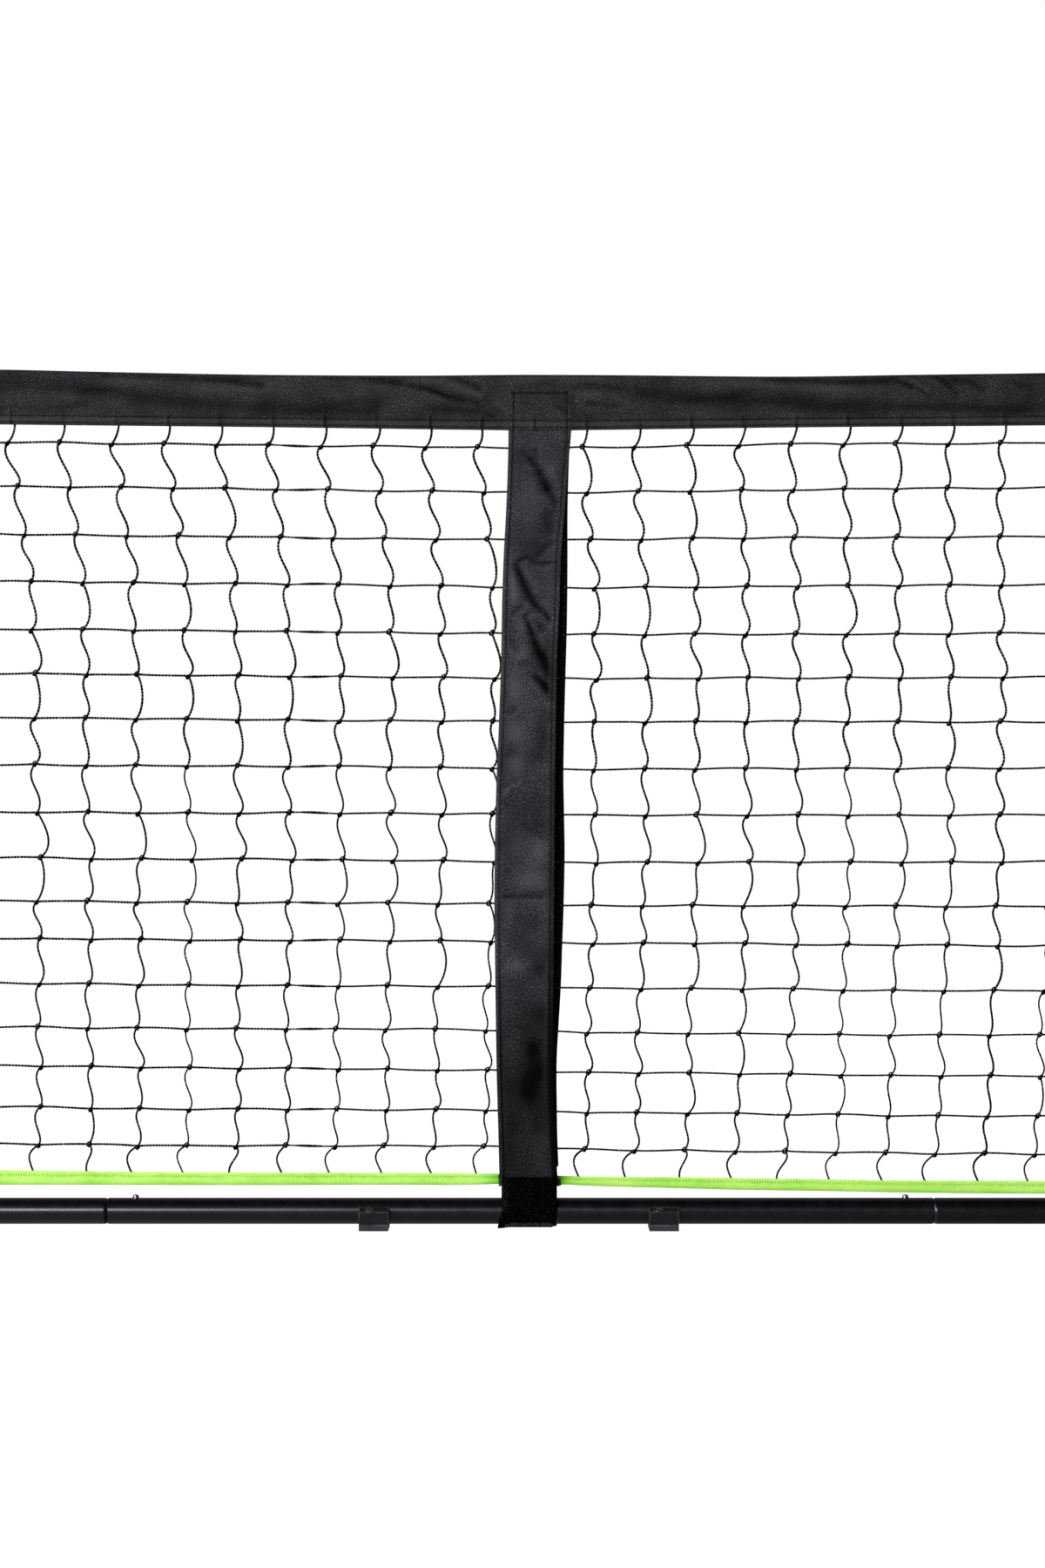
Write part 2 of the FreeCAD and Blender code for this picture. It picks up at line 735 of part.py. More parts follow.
def pieces():
    """Every piece of the net by name."""
    made = {"centre_tube": centre_tube()}
    for name, side in SIDES.items():
        for count in range(1, side_tubes_per_side + 1):
            made[f"side_tube_{name}_{count}"] = side_tube(side, count)
        made[f"hub_{name}"] = hub(side)
        for facing_name, facing in FACINGS.items():
            made[f"foot_tube_{name}_{facing_name}"] = foot_tube(side, facing)
            made[f"foot_cap_{name}_{facing_name}"] = foot_cap(side, facing)
        made[f"pole_{name}"] = pole(side)
        made[f"pole_cap_{name}"] = pole_cap(side)
        made[f"centre_foot_{name}"] = centre_foot(side)
        made[f"centre_foot_pad_{name}"] = centre_foot_pad(side)
        made[f"side_sleeve_{name}"] = side_sleeve(side)
        made[f"corner_tie_{name}"] = corner_tie(side)
    places = button_places()
    for name, (place, heading) in places.items():
        made[name] = turned(button(), place, heading)
    springs = [turned(button_spring(), place, heading) for place, heading in places.values()]
    made["button_springs"] = Part.makeCompound(springs)
    made["centre_foot_screws"] = centre_foot_screws()
    made["net"] = net()
    made["headband"] = headband()
    made["headband_rope"] = headband_rope()
    made["bottom_binding"] = bottom_binding()
    made["strap_front"] = strap_front()
    made["strap_back"] = strap_back()
    made["strap_hook_patch"] = strap_hook_patch()
    made["strap_wrap"] = strap_wrap()
    made["strap_tail"] = strap_tail()
    return made


os.makedirs("parts", exist_ok=True)
for piece_name, piece in pieces().items():
    if not piece.isValid():
        print("not valid:", piece_name)
    piece.exportStep(f"parts/{piece_name}.step")
print("pole axis at", pole_x, "side tube", round(side_tube_length, 2),
      "tube axis", axis_height, "button travel", round(tube_radius + button_rise - neck_radius, 3))
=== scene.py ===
import math
import random

import bmesh
import bpy
from mathutils import Matrix, Vector, noise


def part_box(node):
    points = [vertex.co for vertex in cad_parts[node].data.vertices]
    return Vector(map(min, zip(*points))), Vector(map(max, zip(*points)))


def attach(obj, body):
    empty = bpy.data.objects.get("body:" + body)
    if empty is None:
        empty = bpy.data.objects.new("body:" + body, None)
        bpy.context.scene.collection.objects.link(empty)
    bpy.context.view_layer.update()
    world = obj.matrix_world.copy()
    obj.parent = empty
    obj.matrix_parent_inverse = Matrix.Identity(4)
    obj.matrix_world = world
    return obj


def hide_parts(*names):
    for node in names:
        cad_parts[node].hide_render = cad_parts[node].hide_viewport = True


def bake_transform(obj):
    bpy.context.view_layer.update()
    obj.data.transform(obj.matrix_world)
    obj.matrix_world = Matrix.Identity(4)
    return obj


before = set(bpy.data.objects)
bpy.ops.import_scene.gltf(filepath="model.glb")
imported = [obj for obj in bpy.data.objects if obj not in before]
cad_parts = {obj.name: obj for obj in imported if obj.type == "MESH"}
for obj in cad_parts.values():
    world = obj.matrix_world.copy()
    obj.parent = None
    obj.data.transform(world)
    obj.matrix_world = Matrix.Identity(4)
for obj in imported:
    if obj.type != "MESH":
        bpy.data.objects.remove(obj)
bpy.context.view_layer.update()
scene = bpy.context.scene
print("frame loaded:", len(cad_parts), "nodes")


# Small tools that several pieces share

def glide(points, x):
    # one smooth line through (x, value) points, level beyond its ends
    if x <= points[0][0]:
        return points[0][1]
    if x >= points[-1][0]:
        return points[-1][1]
    last = len(points) - 1
    i = 0
    while points[i + 1][0] < x:
        i += 1

    def slope(k):
        a = max(k - 1, 0)
        b = min(k + 1, last)
        return (points[b][1] - points[a][1]) / (points[b][0] - points[a][0])

    span = points[i + 1][0] - points[i][0]
    t = (x - points[i][0]) / span
    start = points[i][1]
    end = points[i + 1][1]
    bend = t * (1 - t)
    straight = start + (end - start) * t
    pull = (slope(i) * span - (end - start)) * (1 - t) - (slope(i + 1) * span - (end - start)) * t
    return straight + bend * pull


def ease(low, high, x):
    # 0 below low, 1 above high
    t = min(1.0, max(0.0, (x - low) / (high - low)))
    return t * t * (3 - 2 * t)


def stations(start, end, step):
    count = max(1, round((end - start) / step))
    return [start + (end - start) * i / count for i in range(count + 1)]


def joined(*runs):
    # stations of several runs that meet end to end
    places = []
    for run in runs:
        places = places[:-1] + stations(*run)
    return places


def bell(x, middle, width):
    return math.exp(-((x - middle) / width) ** 2)


def ripple(x, y, seed):
    # soft noise from -1 to 1
    return noise.noise(Vector((x, y, seed)))


def metres(table):
    # nested rows of millimetres, as lists in metres
    if isinstance(table, (list, tuple)):
        return [metres(entry) for entry in table]
    return table / 1000


def creaseRows(rows):
    # depth and half width in millimetres, shade, then the points of the line it follows
    return [(*metres(row[:2]), row[2], metres(row[3:])) for row in rows]


def patchRows(rows):
    # middle in X and Z and half sizes in millimetres, then the shade
    return [(*metres(row[:4]), row[4]) for row in rows]


def foldsAt(x, z, creases, patches, flankLight):
    # how deep the cloth is pushed in at (x, z), and the painted shade or light there: shade in
    # creases, light on a crease's upper-left flank
    dip = 0.0
    swell = 0.0
    darkest = 0.0
    lightest = 0.0
    here = Vector((x, z))
    for amount, width, dark, line in creases:
        near = 1.0
        lit = False
        for a, b in zip(line, line[1:]):
            if min(a[0], b[0]) - 4 * width > x or max(a[0], b[0]) + 4 * width < x:
                continue
            a, b = Vector(a), Vector(b)
            run = b - a
            t = min(1.0, max(0.0, (here - a).dot(run) / run.length_squared))
            off = here - a - run * t
            if off.length < near:
                near = off.length
                lit = off.x > 1.6 * off.y  # the flank turned up to the left
        if near < 4 * width:
            fall = math.exp(-(near / width) ** 2)
            dip = max(dip, amount * fall)
            swell = min(swell, amount * fall)
            darkest = max(darkest, dark * fall)
            lightest = min(lightest, dark * fall)
            # painted light on the flank of a crease that is turned up to the left
            if lit and dark > 0:
                flank = math.exp(-((near - 1.9 * width) / width) ** 2)
                lightest = min(lightest, -flankLight * dark * flank)
    depth = dip + swell
    shade = darkest + lightest
    # patches paint broad light (below zero) or shade (above zero), and push the cloth in where
    # dark and out where light
    for midX, midZ, halfX, halfZ, dark in patches:
        away = ((x - midX) / halfX) ** 2 + ((z - midZ) / halfZ) ** 2
        if away < 6:
            shade += dark * math.exp(-away)
            depth += 0.0009 * dark * math.exp(-away)
    return depth, shade


def meshOf(name, shape):
    mesh = bpy.data.meshes.new(name)
    shape.to_mesh(mesh)
    shape.free()
    return mesh


def addObject(name, data):
    made = bpy.data.objects.new(name, data)
    scene.collection.objects.link(made)
    return made


def addPiece(name, mesh, material, slotName, body="frame", standsFor=()):
    piece = addObject(name, mesh)
    mesh.materials.clear()
    mesh.materials.append(material)
    mesh.polygons.foreach_set("use_smooth", [True] * len(mesh.polygons))
    mesh.polygons.foreach_set("material_index", [0] * len(mesh.polygons))
    if body:
        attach(piece, body)
    if standsFor:
        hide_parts(*standsFor)
    return piece


def clothMesh(name, across, along, place):
    # a grid whose UV map is the flat cloth in metres; place gives the point and its shade
    shape = bmesh.new()
    columns = len(across) - 1
    rows = len(along) - 1
    bmesh.ops.create_grid(shape, x_segments=columns, y_segments=rows, size=0.5)
    uvLayer = shape.loops.layers.uv.new("UVMap")
    shadeLayer = shape.verts.layers.float.new("shade")
    for vert in shape.verts:
        u = across[round((vert.co.x + 0.5) * columns)]
        v = along[round((vert.co.y + 0.5) * rows)]
        for loop in vert.link_loops:
            loop[uvLayer].uv = (u, v)
        vert.co, vert[shadeLayer] = place(u, v)
    return meshOf(name, shape)


def addCloth(name, across, along, place, thickness, *rest, **more):
    # rest and more are for addPiece: material, slot, and what the cloth stands for
    piece = addPiece(name, clothMesh(name, across, along, place), *rest, **more)
    solid = piece.modifiers.new("thickness", "SOLIDIFY")
    solid.thickness = thickness
    solid.offset = -1
    solid.use_quality_normals = True
    return piece


def ovalSection(radius, flatness):
    curve = bpy.data.curves.new("ovalSection", "CURVE")
    oval = curve.splines.new("POLY")
    oval.points.add(3)
    oval.use_cyclic_u = True
    for knot, (x, y) in zip(oval.points, ((1, 0), (0, flatness), (-1, 0), (0, -flatness))):
        knot.co = (x * radius, y * radius, 0, 1)
    return addObject("ovalSection", curve)


twistedOval = {"wide": 1.30, "flat": 0.72}  # section of a twisted cord, in its radius


def cordMesh(name, lines, radius, sides=6, steps=1, uvLength=1.0, halfTurns=0):
    # each line is a list of (point, handle before, handle after), or of plain points;
    # halfTurns twists an oval cord that many times between points
    curve = bpy.data.curves.new(name, "CURVE")
    curve.dimensions = "3D"
    curve.bevel_depth = radius
    curve.bevel_resolution = sides // 2 - 2
    if halfTurns:
        section = ovalSection(radius * twistedOval["wide"], twistedOval["flat"])
        curve.bevel_mode = "OBJECT"
        curve.bevel_object = section
    curve.resolution_u = steps
    curve.use_fill_caps = True
    for points in lines:
        bezier = isinstance(points[0], tuple)
        spline = curve.splines.new("BEZIER" if bezier else "POLY")
        if bezier:
            spline.bezier_points.add(len(points) - 1)
            for i, (place, before, after) in enumerate(points):
                knot = spline.bezier_points[i]
                knot.tilt = i * halfTurns * math.pi
                knot.handle_left_type = knot.handle_right_type = "FREE"
                knot.co = place
                knot.handle_left = before
                knot.handle_right = after
        else:
            spline.points.add(len(points) - 1)
            for knot, place in zip(spline.points, points):
                knot.co = (*place, 1.0)
    holder = addObject(name, curve)
    built = holder.evaluated_get(bpy.context.evaluated_depsgraph_get())
    mesh = bpy.data.meshes.new_from_object(built)
    bpy.data.objects.remove(holder)
    bpy.data.curves.remove(curve)
    if halfTurns:
        bpy.data.curves.remove(section.data)
    if mesh.uv_layers:
        for item in mesh.uv_layers[0].data:
            item.uv.x *= uvLength
    return mesh


def handled(places, kinks=None):
    # the places of a cord with handles that point to their neighbours
    line = []
    for i, place in enumerate(places):
        before = places[max(0, i - 1)]
        after = places[min(len(places) - 1, i + 1)]
        kink = kinks[i] if kinks else Vector()
        line.append((place, place.lerp(before, 0.3) + kink, place.lerp(after, 0.3) + kink))
    return line


def stitchLines(path, length, gap, lift, dive):
    # short threads along path, a list of (point, outward normal); each dives in at both ends
    lines = []
    travelled = 0
    due = gap
    ends = [0.0]
    for (a, _), (b, _) in zip(path, path[1:]):
        ends.append(ends[-1] + (b - a).length)

    def at(distance, height):
        nonlocal travelled
        while travelled < len(path) - 2 and ends[travelled + 1] < distance:
            travelled += 1
        (a, outA), (b, outB) = path[travelled:travelled + 2]
        t = (distance - ends[travelled]) / max(1e-9, ends[travelled + 1] - ends[travelled])
        return a.lerp(b, t) + outA.lerp(outB, t) * height

    while due + length < ends[-1]:
        lines.append([at(due, -dive), at(due + 0.5 * length, lift), at(due + length, -dive)])
        due += length + gap
    return lines


# Camera, lights and floor

studio = {
    "cameraPlace": (0.002, -4.5, 0.4499),
    "lens": 102.1,
    "floorSize": 60.0,
    "floorGlow": 0.94,
    "skySoft": 0.30,  # world seen by matt surfaces
    "skyGloss": 0.008,  # world above the floor, seen by glossy surfaces
    "floorGloss": (0.45, 0.06),  # below it, from left to right
    "wallGloss": 0.21,  # low behind the net
    "stripPlace": (-2.62, -5.6, 1.64),
    "stripSize": (3.4, 1.0),
    "stripPower": 345.0,
    "sidePlace": (-3.3, -2.3, 2.7),
    "sideSize": (2.2, 2.2),
    "sidePower": 85.0,
    "backPlace": (1.6, 4.6, 2.3),
    "backSize": (3.0, 2.0),
    "backPower": 190.0,
    "lightColour": (0.94, 0.97, 1.10),
}

cameraData = bpy.data.cameras.new("camera")
cameraData.lens = studio["lens"]
cameraData.sensor_width = 36.0
cameraData.clip_start = 0.1
cameraData.clip_end = 200.0
camera = addObject("camera", cameraData)
camera.location = studio["cameraPlace"]
camera.rotation_euler = (math.radians(90), 0, 0)
scene.camera = camera
scene.view_settings.view_transform = "Standard"


def areaLight(name, target):
    data = bpy.data.lights.new(name + "Light", "AREA")
    data.shape = "RECTANGLE"
    data.size, data.size_y = studio[name + "Size"]
    data.energy = studio[name + "Power"]
    data.color = studio["lightColour"]
    light = addObject(name + "Light", data)
    light.location = studio[name + "Place"]
    aim = Vector(target) - Vector(studio[name + "Place"])
    light.rotation_euler = aim.to_track_quat("-Z", "Y").to_euler()
    light.visible_camera = False
    return light


areaLight("strip", (-0.3, 0, 0.2))
areaLight("side", (0, 0, 0.5))
areaLight("back", (0, 0, 0.4)).visible_glossy = False  # soft fill for the far side only


def addNode(tree, kind, values=None, **settings):
    node = tree.nodes.new("ShaderNode" + kind)
    for name, value in settings.items():
        setattr(node, name, value)
    for name, value in (values or {}).items():
        node.inputs[name].default_value = value
    return node


world = bpy.data.worlds.new("studio")
world.use_nodes = True
scene.world = world
sky = world.node_tree
sky.nodes.clear()
rayKind = addNode(sky, "LightPath")
white = addNode(sky, "Background", {"Color": (1, 1, 1, 1), "Strength": 1.0})
soft = addNode(sky, "Background", {"Color": (1, 1, 1, 1), "Strength": studio["skySoft"]})
gloss = addNode(sky, "Background", {"Color": (1, 1, 1, 1)})
skyWay = addNode(sky, "SeparateXYZ")


def glossRange(axis, start, end, values=(0.0, 1.0)):
    node = addNode(sky, "MapRange", {"From Min": start, "From Max": end, "To Min": values[0],
                                     "To Max": values[1]})
    sky.links.new(skyWay.outputs[axis], node.inputs[0])
    return node


skyStrength = glossRange("Z", -0.06, 0.04)
floorStrength = glossRange("X", -0.2, 0.2, studio["floorGloss"])
wallStrength = glossRange("Y", 0.08, 0.60, (studio["skyGloss"], studio["wallGloss"]))
softOrGloss = addNode(sky, "MixShader")
seen = addNode(sky, "MixShader")
for source, sink in (
        (addNode(sky, "TexCoord").outputs["Generated"], skyWay.inputs[0]),
        (floorStrength.outputs[0], skyStrength.inputs["To Min"]),
        (wallStrength.outputs[0], skyStrength.inputs["To Max"]),
        (skyStrength.outputs[0], gloss.inputs["Strength"]),
        (rayKind.outputs["Is Glossy Ray"], softOrGloss.inputs[0]),
        (soft.outputs[0], softOrGloss.inputs[1]), (gloss.outputs[0], softOrGloss.inputs[2]),
        (rayKind.outputs["Is Camera Ray"], seen.inputs[0]),
        (softOrGloss.outputs[0], seen.inputs[1]), (white.outputs[0], seen.inputs[2]),
        (seen.outputs[0], addNode(sky, "OutputWorld").inputs[0])):
    sky.links.new(source, sink)
print("camera and lights ready")


# Materials

def newMaterial(name, colour, roughness, values=None):
    material = bpy.data.materials.new(name)
    material.use_nodes = True
    tree = material.node_tree
    tree.nodes.clear()
    shader = addNode(tree, "BsdfPrincipled", {"Base Color": (*colour, 1), "Roughness": roughness})
    for socket, value in (values or {}).items():
        shader.inputs[socket].default_value = value
    output = addNode(tree, "OutputMaterial")
    tree.links.new(shader.outputs[0], output.inputs[0])
    return material, tree, shader


def grey(value):
    return (value, value, value)


def ramp(tree, source, stops, sink=None):
    # stops are (place, colour), or (place, value) for a grey
    node = addNode(tree, "ValToRGB")
    while len(node.color_ramp.elements) < len(stops):
        node.color_ramp.elements.new(0.5)
    for element, (place, colour) in zip(node.color_ramp.elements, stops):
        element.position = place
        element.color = (*(colour if hasattr(colour, "__len__") else grey(colour)), 1)
    tree.links.new(source, node.inputs[0])
    if sink is not None:
        tree.links.new(node.outputs[0], sink)
    return node.outputs[0]


def feed(tree, value, socket):
    # value is a socket to link, a number or a colour
    if hasattr(value, "is_linked"):
        tree.links.new(value, socket)
    else:
        socket.default_value = (*value, 1) if hasattr(value, "__len__") else value


def calc(tree, operation, *values):
    node = addNode(tree, "Math", operation=operation)
    for value, socket in zip(values, node.inputs):
        feed(tree, value, socket)
    return node.outputs[0]


def blendColour(tree, factor, a, b):
    node = addNode(tree, "Mix", data_type="RGBA", clamp_result=True)
    for index, value in ((0, factor), (6, a), (7, b)):
        feed(tree, value, node.inputs[index])
    return node.outputs[2]


def coordinates(tree, kind):
    return addNode(tree, "TexCoord").outputs[kind]


def shadeParts(tree):
    # how far the shade attribute darkens the cloth, and how far it lightens it
    shade = addNode(tree, "Attribute", attribute_name="shade").outputs["Fac"]
    lighter = calc(tree, "MAXIMUM", calc(tree, "MULTIPLY", shade, -1.0), 0.0)
    return calc(tree, "MAXIMUM", shade, 0.0), lighter


def noiseOf(tree, vector, scale, detail=2.0, rough=0.5, stretch=None):
    if stretch:
        turn = addNode(tree, "Mapping", {"Scale": stretch})
        tree.links.new(vector, turn.inputs[0])
        vector = turn.outputs[0]
    node = addNode(tree, "TexNoise", {"Scale": scale, "Detail": detail, "Roughness": rough})
    tree.links.new(vector, node.inputs["Vector"])
    return node.outputs[0]


def bumpOf(tree, shader, height, distance):
    node = addNode(tree, "Bump", {"Strength": 1.0, "Distance": distance})
    tree.links.new(height, node.inputs["Height"])
    tree.links.new(node.outputs[0], shader.inputs["Normal"])


def clothMaterial(name, look):
    # woven cloth: warp and weft, slubs, fading, and the shade attribute, which paints shade into
    # folds, creases and seams and paints light onto hems, ridges and sheen patches
    material, tree, shader = newMaterial(name, look["mid"], look["rough"], look["sockets"])
    uv = coordinates(tree, "UV")
    threads = []
    for direction in "XY":
        wave = addNode(tree, "TexWave", {"Scale": 0.3142 / look["weavePitch"],
                                         "Distortion": 0.4, "Detail": 1.0, "Detail Scale": 2.0},
                       bands_direction=direction)
        tree.links.new(uv, wave.inputs["Vector"])
        threads.append(wave.outputs["Fac"])
    weave = calc(tree, "MULTIPLY", *threads)
    slubs = noiseOf(tree, uv, look["slubScale"], 3.0, 0.65)
    specks = ramp(tree, slubs, look["slubStops"])
    fading = ramp(tree, noiseOf(tree, uv, look["fadeScale"], 3.0, 0.55),
                  [(0.38, 0), (0.66, look["fade"])])
    faded = blendColour(tree, fading, specks, look["dark"])
    woven = blendColour(tree, calc(tree, "MULTIPLY", weave, look["weaveTint"]), faded,
                        look["light"])
    folds, lightening = shadeParts(tree)
    # painted shade toward the fold colour, then painted light toward the light colour
    folded = blendColour(tree, folds, woven, look["fold"])
    shadedAndLit = blendColour(tree, lightening, folded, look["lightening"])
    tree.links.new(shadedAndLit, shader.inputs["Base Color"])
    ramp(tree, slubs, [(0.3, look["rough"] + 0.05), (0.8, look["rough"] - 0.12)],
         shader.inputs["Roughness"])
    height = calc(tree, "ADD", weave, calc(tree, "MULTIPLY", slubs, 1.6))
    bumpOf(tree, shader, height, look["bump"])
    return material


headbandLook = {
    "mid": (0.0350, 0.0343, 0.0342),
    "dark": (0.0095, 0.0092, 0.0092),
    "light": (0.063, 0.062, 0.061),
    # the next two colours are painted: shade in creases and seams, then light on hems, ridges and
    # sheen patches
    "fold": (0.0008, 0.0008, 0.0009),
    "lightening": (0.066, 0.065, 0.063),
    "rough": 0.86,
    "weavePitch": 0.0007,
    "weaveTint": 0.25,
    "slubScale": 900.0,
    "slubStops": [(0.36, (0.0040, 0.0038, 0.0038)), (0.50, (0.0190, 0.0187, 0.0186)),
                  (0.60, (0.068, 0.067, 0.066)), (0.70, (0.34, 0.34, 0.335))],
    "fadeScale": 24.0,
    "fade": 0.7,
    "bump": 0.0004,
    "sockets": {"Specular IOR Level": 0.07},
}
strapLook = dict(
    headbandLook,
    mid=(0.039, 0.0378, 0.0393),
    dark=(0.0165, 0.0160, 0.0170),
    light=(0.072, 0.070, 0.073),
    # the strap's colour of painted light
    lightening=(0.104, 0.102, 0.105),
    slubStops=[(0.36, (0.0072, 0.0070, 0.0074)), (0.50, (0.0265, 0.0259, 0.0270)),
               (0.59, (0.090, 0.088, 0.092)), (0.69, (0.46, 0.46, 0.465))],
    fadeScale=20.0,
)
headbandCloth = clothMaterial("headbandCloth", headbandLook)
strapCloth = clothMaterial("strapCloth", strapLook)
sleeveCloth = clothMaterial("sleeveCloth", dict(headbandLook, fadeScale=18.0))
tieLook = dict(headbandLook, weavePitch=0.0016, weaveTint=0.6, bump=0.0005, slubScale=420.0)
tieWebbing = clothMaterial("tieWebbing", tieLook)


def pileMaterial(name, look):
    # brushed loop tape: a velvet of tiny loops with lighter ends here and there
    material, tree, shader = newMaterial(name, look["dark"], 0.95, look["sockets"])
    uv = coordinates(tree, "UV")
    loops = addNode(tree, "TexVoronoi", {"Scale": look["loopScale"], "Randomness": 1.0})
    tree.links.new(uv, loops.inputs["Vector"])
    tufts = noiseOf(tree, uv, look["tuftScale"], 3.0, 0.7)
    specks = ramp(tree, tufts, [(0.54, look["dark"]), (0.62, look["mid"]), (0.74, look["light"])])
    # where the shade attribute is below zero the pile is lightened in tufts: painted light on the
    # strap's back panel, and a lighter strip along the fold under the tube
    lightening = shadeParts(tree)[1]
    lightened = calc(tree, "MULTIPLY", lightening, ramp(tree, tufts, [(0.42, 0), (0.6, 1)]))
    mixed = blendColour(tree, lightened, specks, look["lightened"])
    tree.links.new(mixed, shader.inputs["Base Color"])
    height = calc(tree, "ADD", loops.outputs["Distance"], calc(tree, "MULTIPLY", tufts, 2.0))
    bumpOf(tree, shader, height, look["bump"])
    return material


pileLook = {
    "dark": (0.0006, 0.0006, 0.0006),
    "mid": (0.004, 0.004, 0.0045),
    "light": (0.045, 0.045, 0.048),
    "lightened": (0.040, 0.038, 0.044),
    "loopScale": 1500.0,
    "tuftScale": 420.0,
    "bump": 0.0006,
    "sockets": {"Specular IOR Level": 0.02},
}
loopPile = pileMaterial("loopPile", pileLook)
backPile = pileMaterial("backPile", dict(pileLook, dark=(0.0040, 0.0040, 0.0043),
                                         mid=(0.015, 0.015, 0.016), light=(0.060, 0.060, 0.064)))
hookPile = pileMaterial("hookPile", dict(pileLook, dark=(0.004, 0.004, 0.0045), loopScale=900.0,
                                         tuftScale=700.0, bump=0.0009))


def twistMaterial(name, look):
    # twisted strands: UV runs in metres along the cord and once round it; the strands' crests are
    # painted light, as highlights on the twine, and the grooves between them painted shade
    material, tree, shader = newMaterial(name, look["groove"], look["rough"], look["sockets"])
    uv = coordinates(tree, "UV")
    parts = addNode(tree, "SeparateXYZ")
    tree.links.new(uv, parts.inputs[0])
    turns = calc(tree, "MULTIPLY", parts.outputs["X"], 1.0 / look["strandPitch"])
    phase = calc(tree, "ADD", turns, calc(tree, "MULTIPLY", parts.outputs["Y"], look["strands"]))
    wave = calc(tree, "ABSOLUTE", calc(tree, "SINE", calc(tree, "MULTIPLY", phase, math.pi)))
    fibres = noiseOf(tree, uv, look["fibreScale"], 2.0, 0.7, stretch=(1.0, 0.006, 1.0))
    patchy = noiseOf(tree, uv, look["patchScale"], 2.0, 0.5)
    crestLight = calc(tree, "MULTIPLY", wave, calc(tree, "ADD", fibres, look["patchShift"]))
    crestLight = calc(tree, "ADD", crestLight, calc(tree, "MULTIPLY", patchy, look["patchy"]))
    ramp(tree, crestLight, look["stops"], shader.inputs["Base Color"])
    bumpOf(tree, shader, wave, look["bump"])
    return material


twineBlack = twistMaterial("twineBlack", {
    "groove": (0.002, 0.002, 0.002),
    "stops": [(0.72, 0.0004), (0.87, 0.007), (0.96, 0.36)],
    "rough": 0.9,
    "patchScale": 55.0,
    "patchy": 0.55,
    "patchShift": 0.05,
    "strandPitch": 0.0040,
    "strands": 1,
    "fibreScale": 420.0,
    "bump": 0.0005,
    "sockets": {"Specular IOR Level": 0.04},
})
ropeWhite = twistMaterial("ropeWhite", {
    "groove": (0.30, 0.29, 0.27),
    "stops": [(0.05, (0.25, 0.24, 0.22)), (0.5, (0.66, 0.65, 0.62)), (0.9, (0.84, 0.83, 0.80))],
    "rough": 0.65,
    "patchScale": 60.0,
    "patchy": 0.1,
    "patchShift": 0.35,
    "strandPitch": 0.0042,
    "strands": 1,
    "fibreScale": 600.0,
    "bump": 0.0008,
    "sockets": {"Specular IOR Level": 0.3},
})


def threadMaterial(name, colour):
    material, tree, shader = newMaterial(name, colour, 0.6, {"Specular IOR Level": 0.2})
    plies = addNode(tree, "TexWave", {"Scale": 1.2, "Distortion": 1.0}, bands_direction="DIAGONAL")
    tree.links.new(coordinates(tree, "UV"), plies.inputs["Vector"])
    ramp(tree, plies.outputs["Fac"], [(0.2, [c * 0.5 for c in colour]), (0.9, colour)],
         shader.inputs["Base Color"])
    return material


threadBlack = threadMaterial("threadBlack", (0.0022, 0.0022, 0.0025))


def coatMaterial(name, look):
    # powder coat on steel: orange peel, dust and small rubbed marks; where asked, edges lightened
    # by wear and a painted highlight
    material, tree, shader = newMaterial(name, look["colour"], look["rough"], look["sockets"])
    where = coordinates(tree, "Object")
    peel = noiseOf(tree, where, look["peelScale"], 2.0, 0.5)
    dust = noiseOf(tree, where, 70.0, 4.0, 0.65)
    rubs = noiseOf(tree, where, 90.0, 3.0, 0.6, stretch=look["rubStretch"])
    tone = ramp(tree, dust, [(0.35, look["colour"]), (0.75, look["dusty"])])
    marks = ramp(tree, rubs, [(0.66, 0), (0.74, 1)])
    lightened = blendColour(tree, calc(tree, "MULTIPLY", marks, look["wear"]), tone, look["rubbedAndEdgeLit"])
    if "edgeWearAndHighlight" in look:
        # where a rounded edge's normal leaves the face's own, the surface is lighter: rubbed wear
        # and a painted highlight along the edge
        rounded = addNode(tree, "Bevel", {"Radius": look["edgeWidth"]}, samples=4)
        square = addNode(tree, "NewGeometry")
        turned = addNode(tree, "VectorMath", operation="DOT_PRODUCT")
        tree.links.new(rounded.outputs[0], turned.inputs[0])
        tree.links.new(square.outputs["Normal"], turned.inputs[1])
        edge = calc(tree, "SUBTRACT", 1.0, turned.outputs["Value"])
        edge = ramp(tree, edge, [(0.01, 0), (0.14, 1)])
        chips = ramp(tree, dust, [(0.40, 0.15), (0.62, 1)])
        edge = calc(tree, "MULTIPLY", calc(tree, "MULTIPLY", edge, chips), look["edgeWearAndHighlight"])
        lightened = blendColour(tree, edge, lightened, look["rubbedAndEdgeLit"])
    tree.links.new(lightened, shader.inputs["Base Color"])
    ramp(tree, dust, [(0.3, look["rough"] - 0.02), (0.8, look["rough"] + 0.05)],
         shader.inputs["Roughness"])
    bumpOf(tree, shader, peel, look["peel"])
    return material


coatLook = {
    "colour": (0.0012, 0.0012, 0.0013),
    "dusty": (0.0028, 0.0028, 0.0032),
    "rubbedAndEdgeLit": (0.012, 0.012, 0.013),
    "rough": 0.265,
    "peelScale": 500.0,
    "peel": 0.0000015,
    "rubStretch": (0.25, 1.0, 1.0),
    "wear": 0.35,
    "sockets": {"Specular IOR Level": 0.5},
}
coatBlack = coatMaterial("coatBlack", coatLook)
coatUpright = coatMaterial("coatUpright", dict(coatLook, rubStretch=(1.0, 1.0, 0.25)))
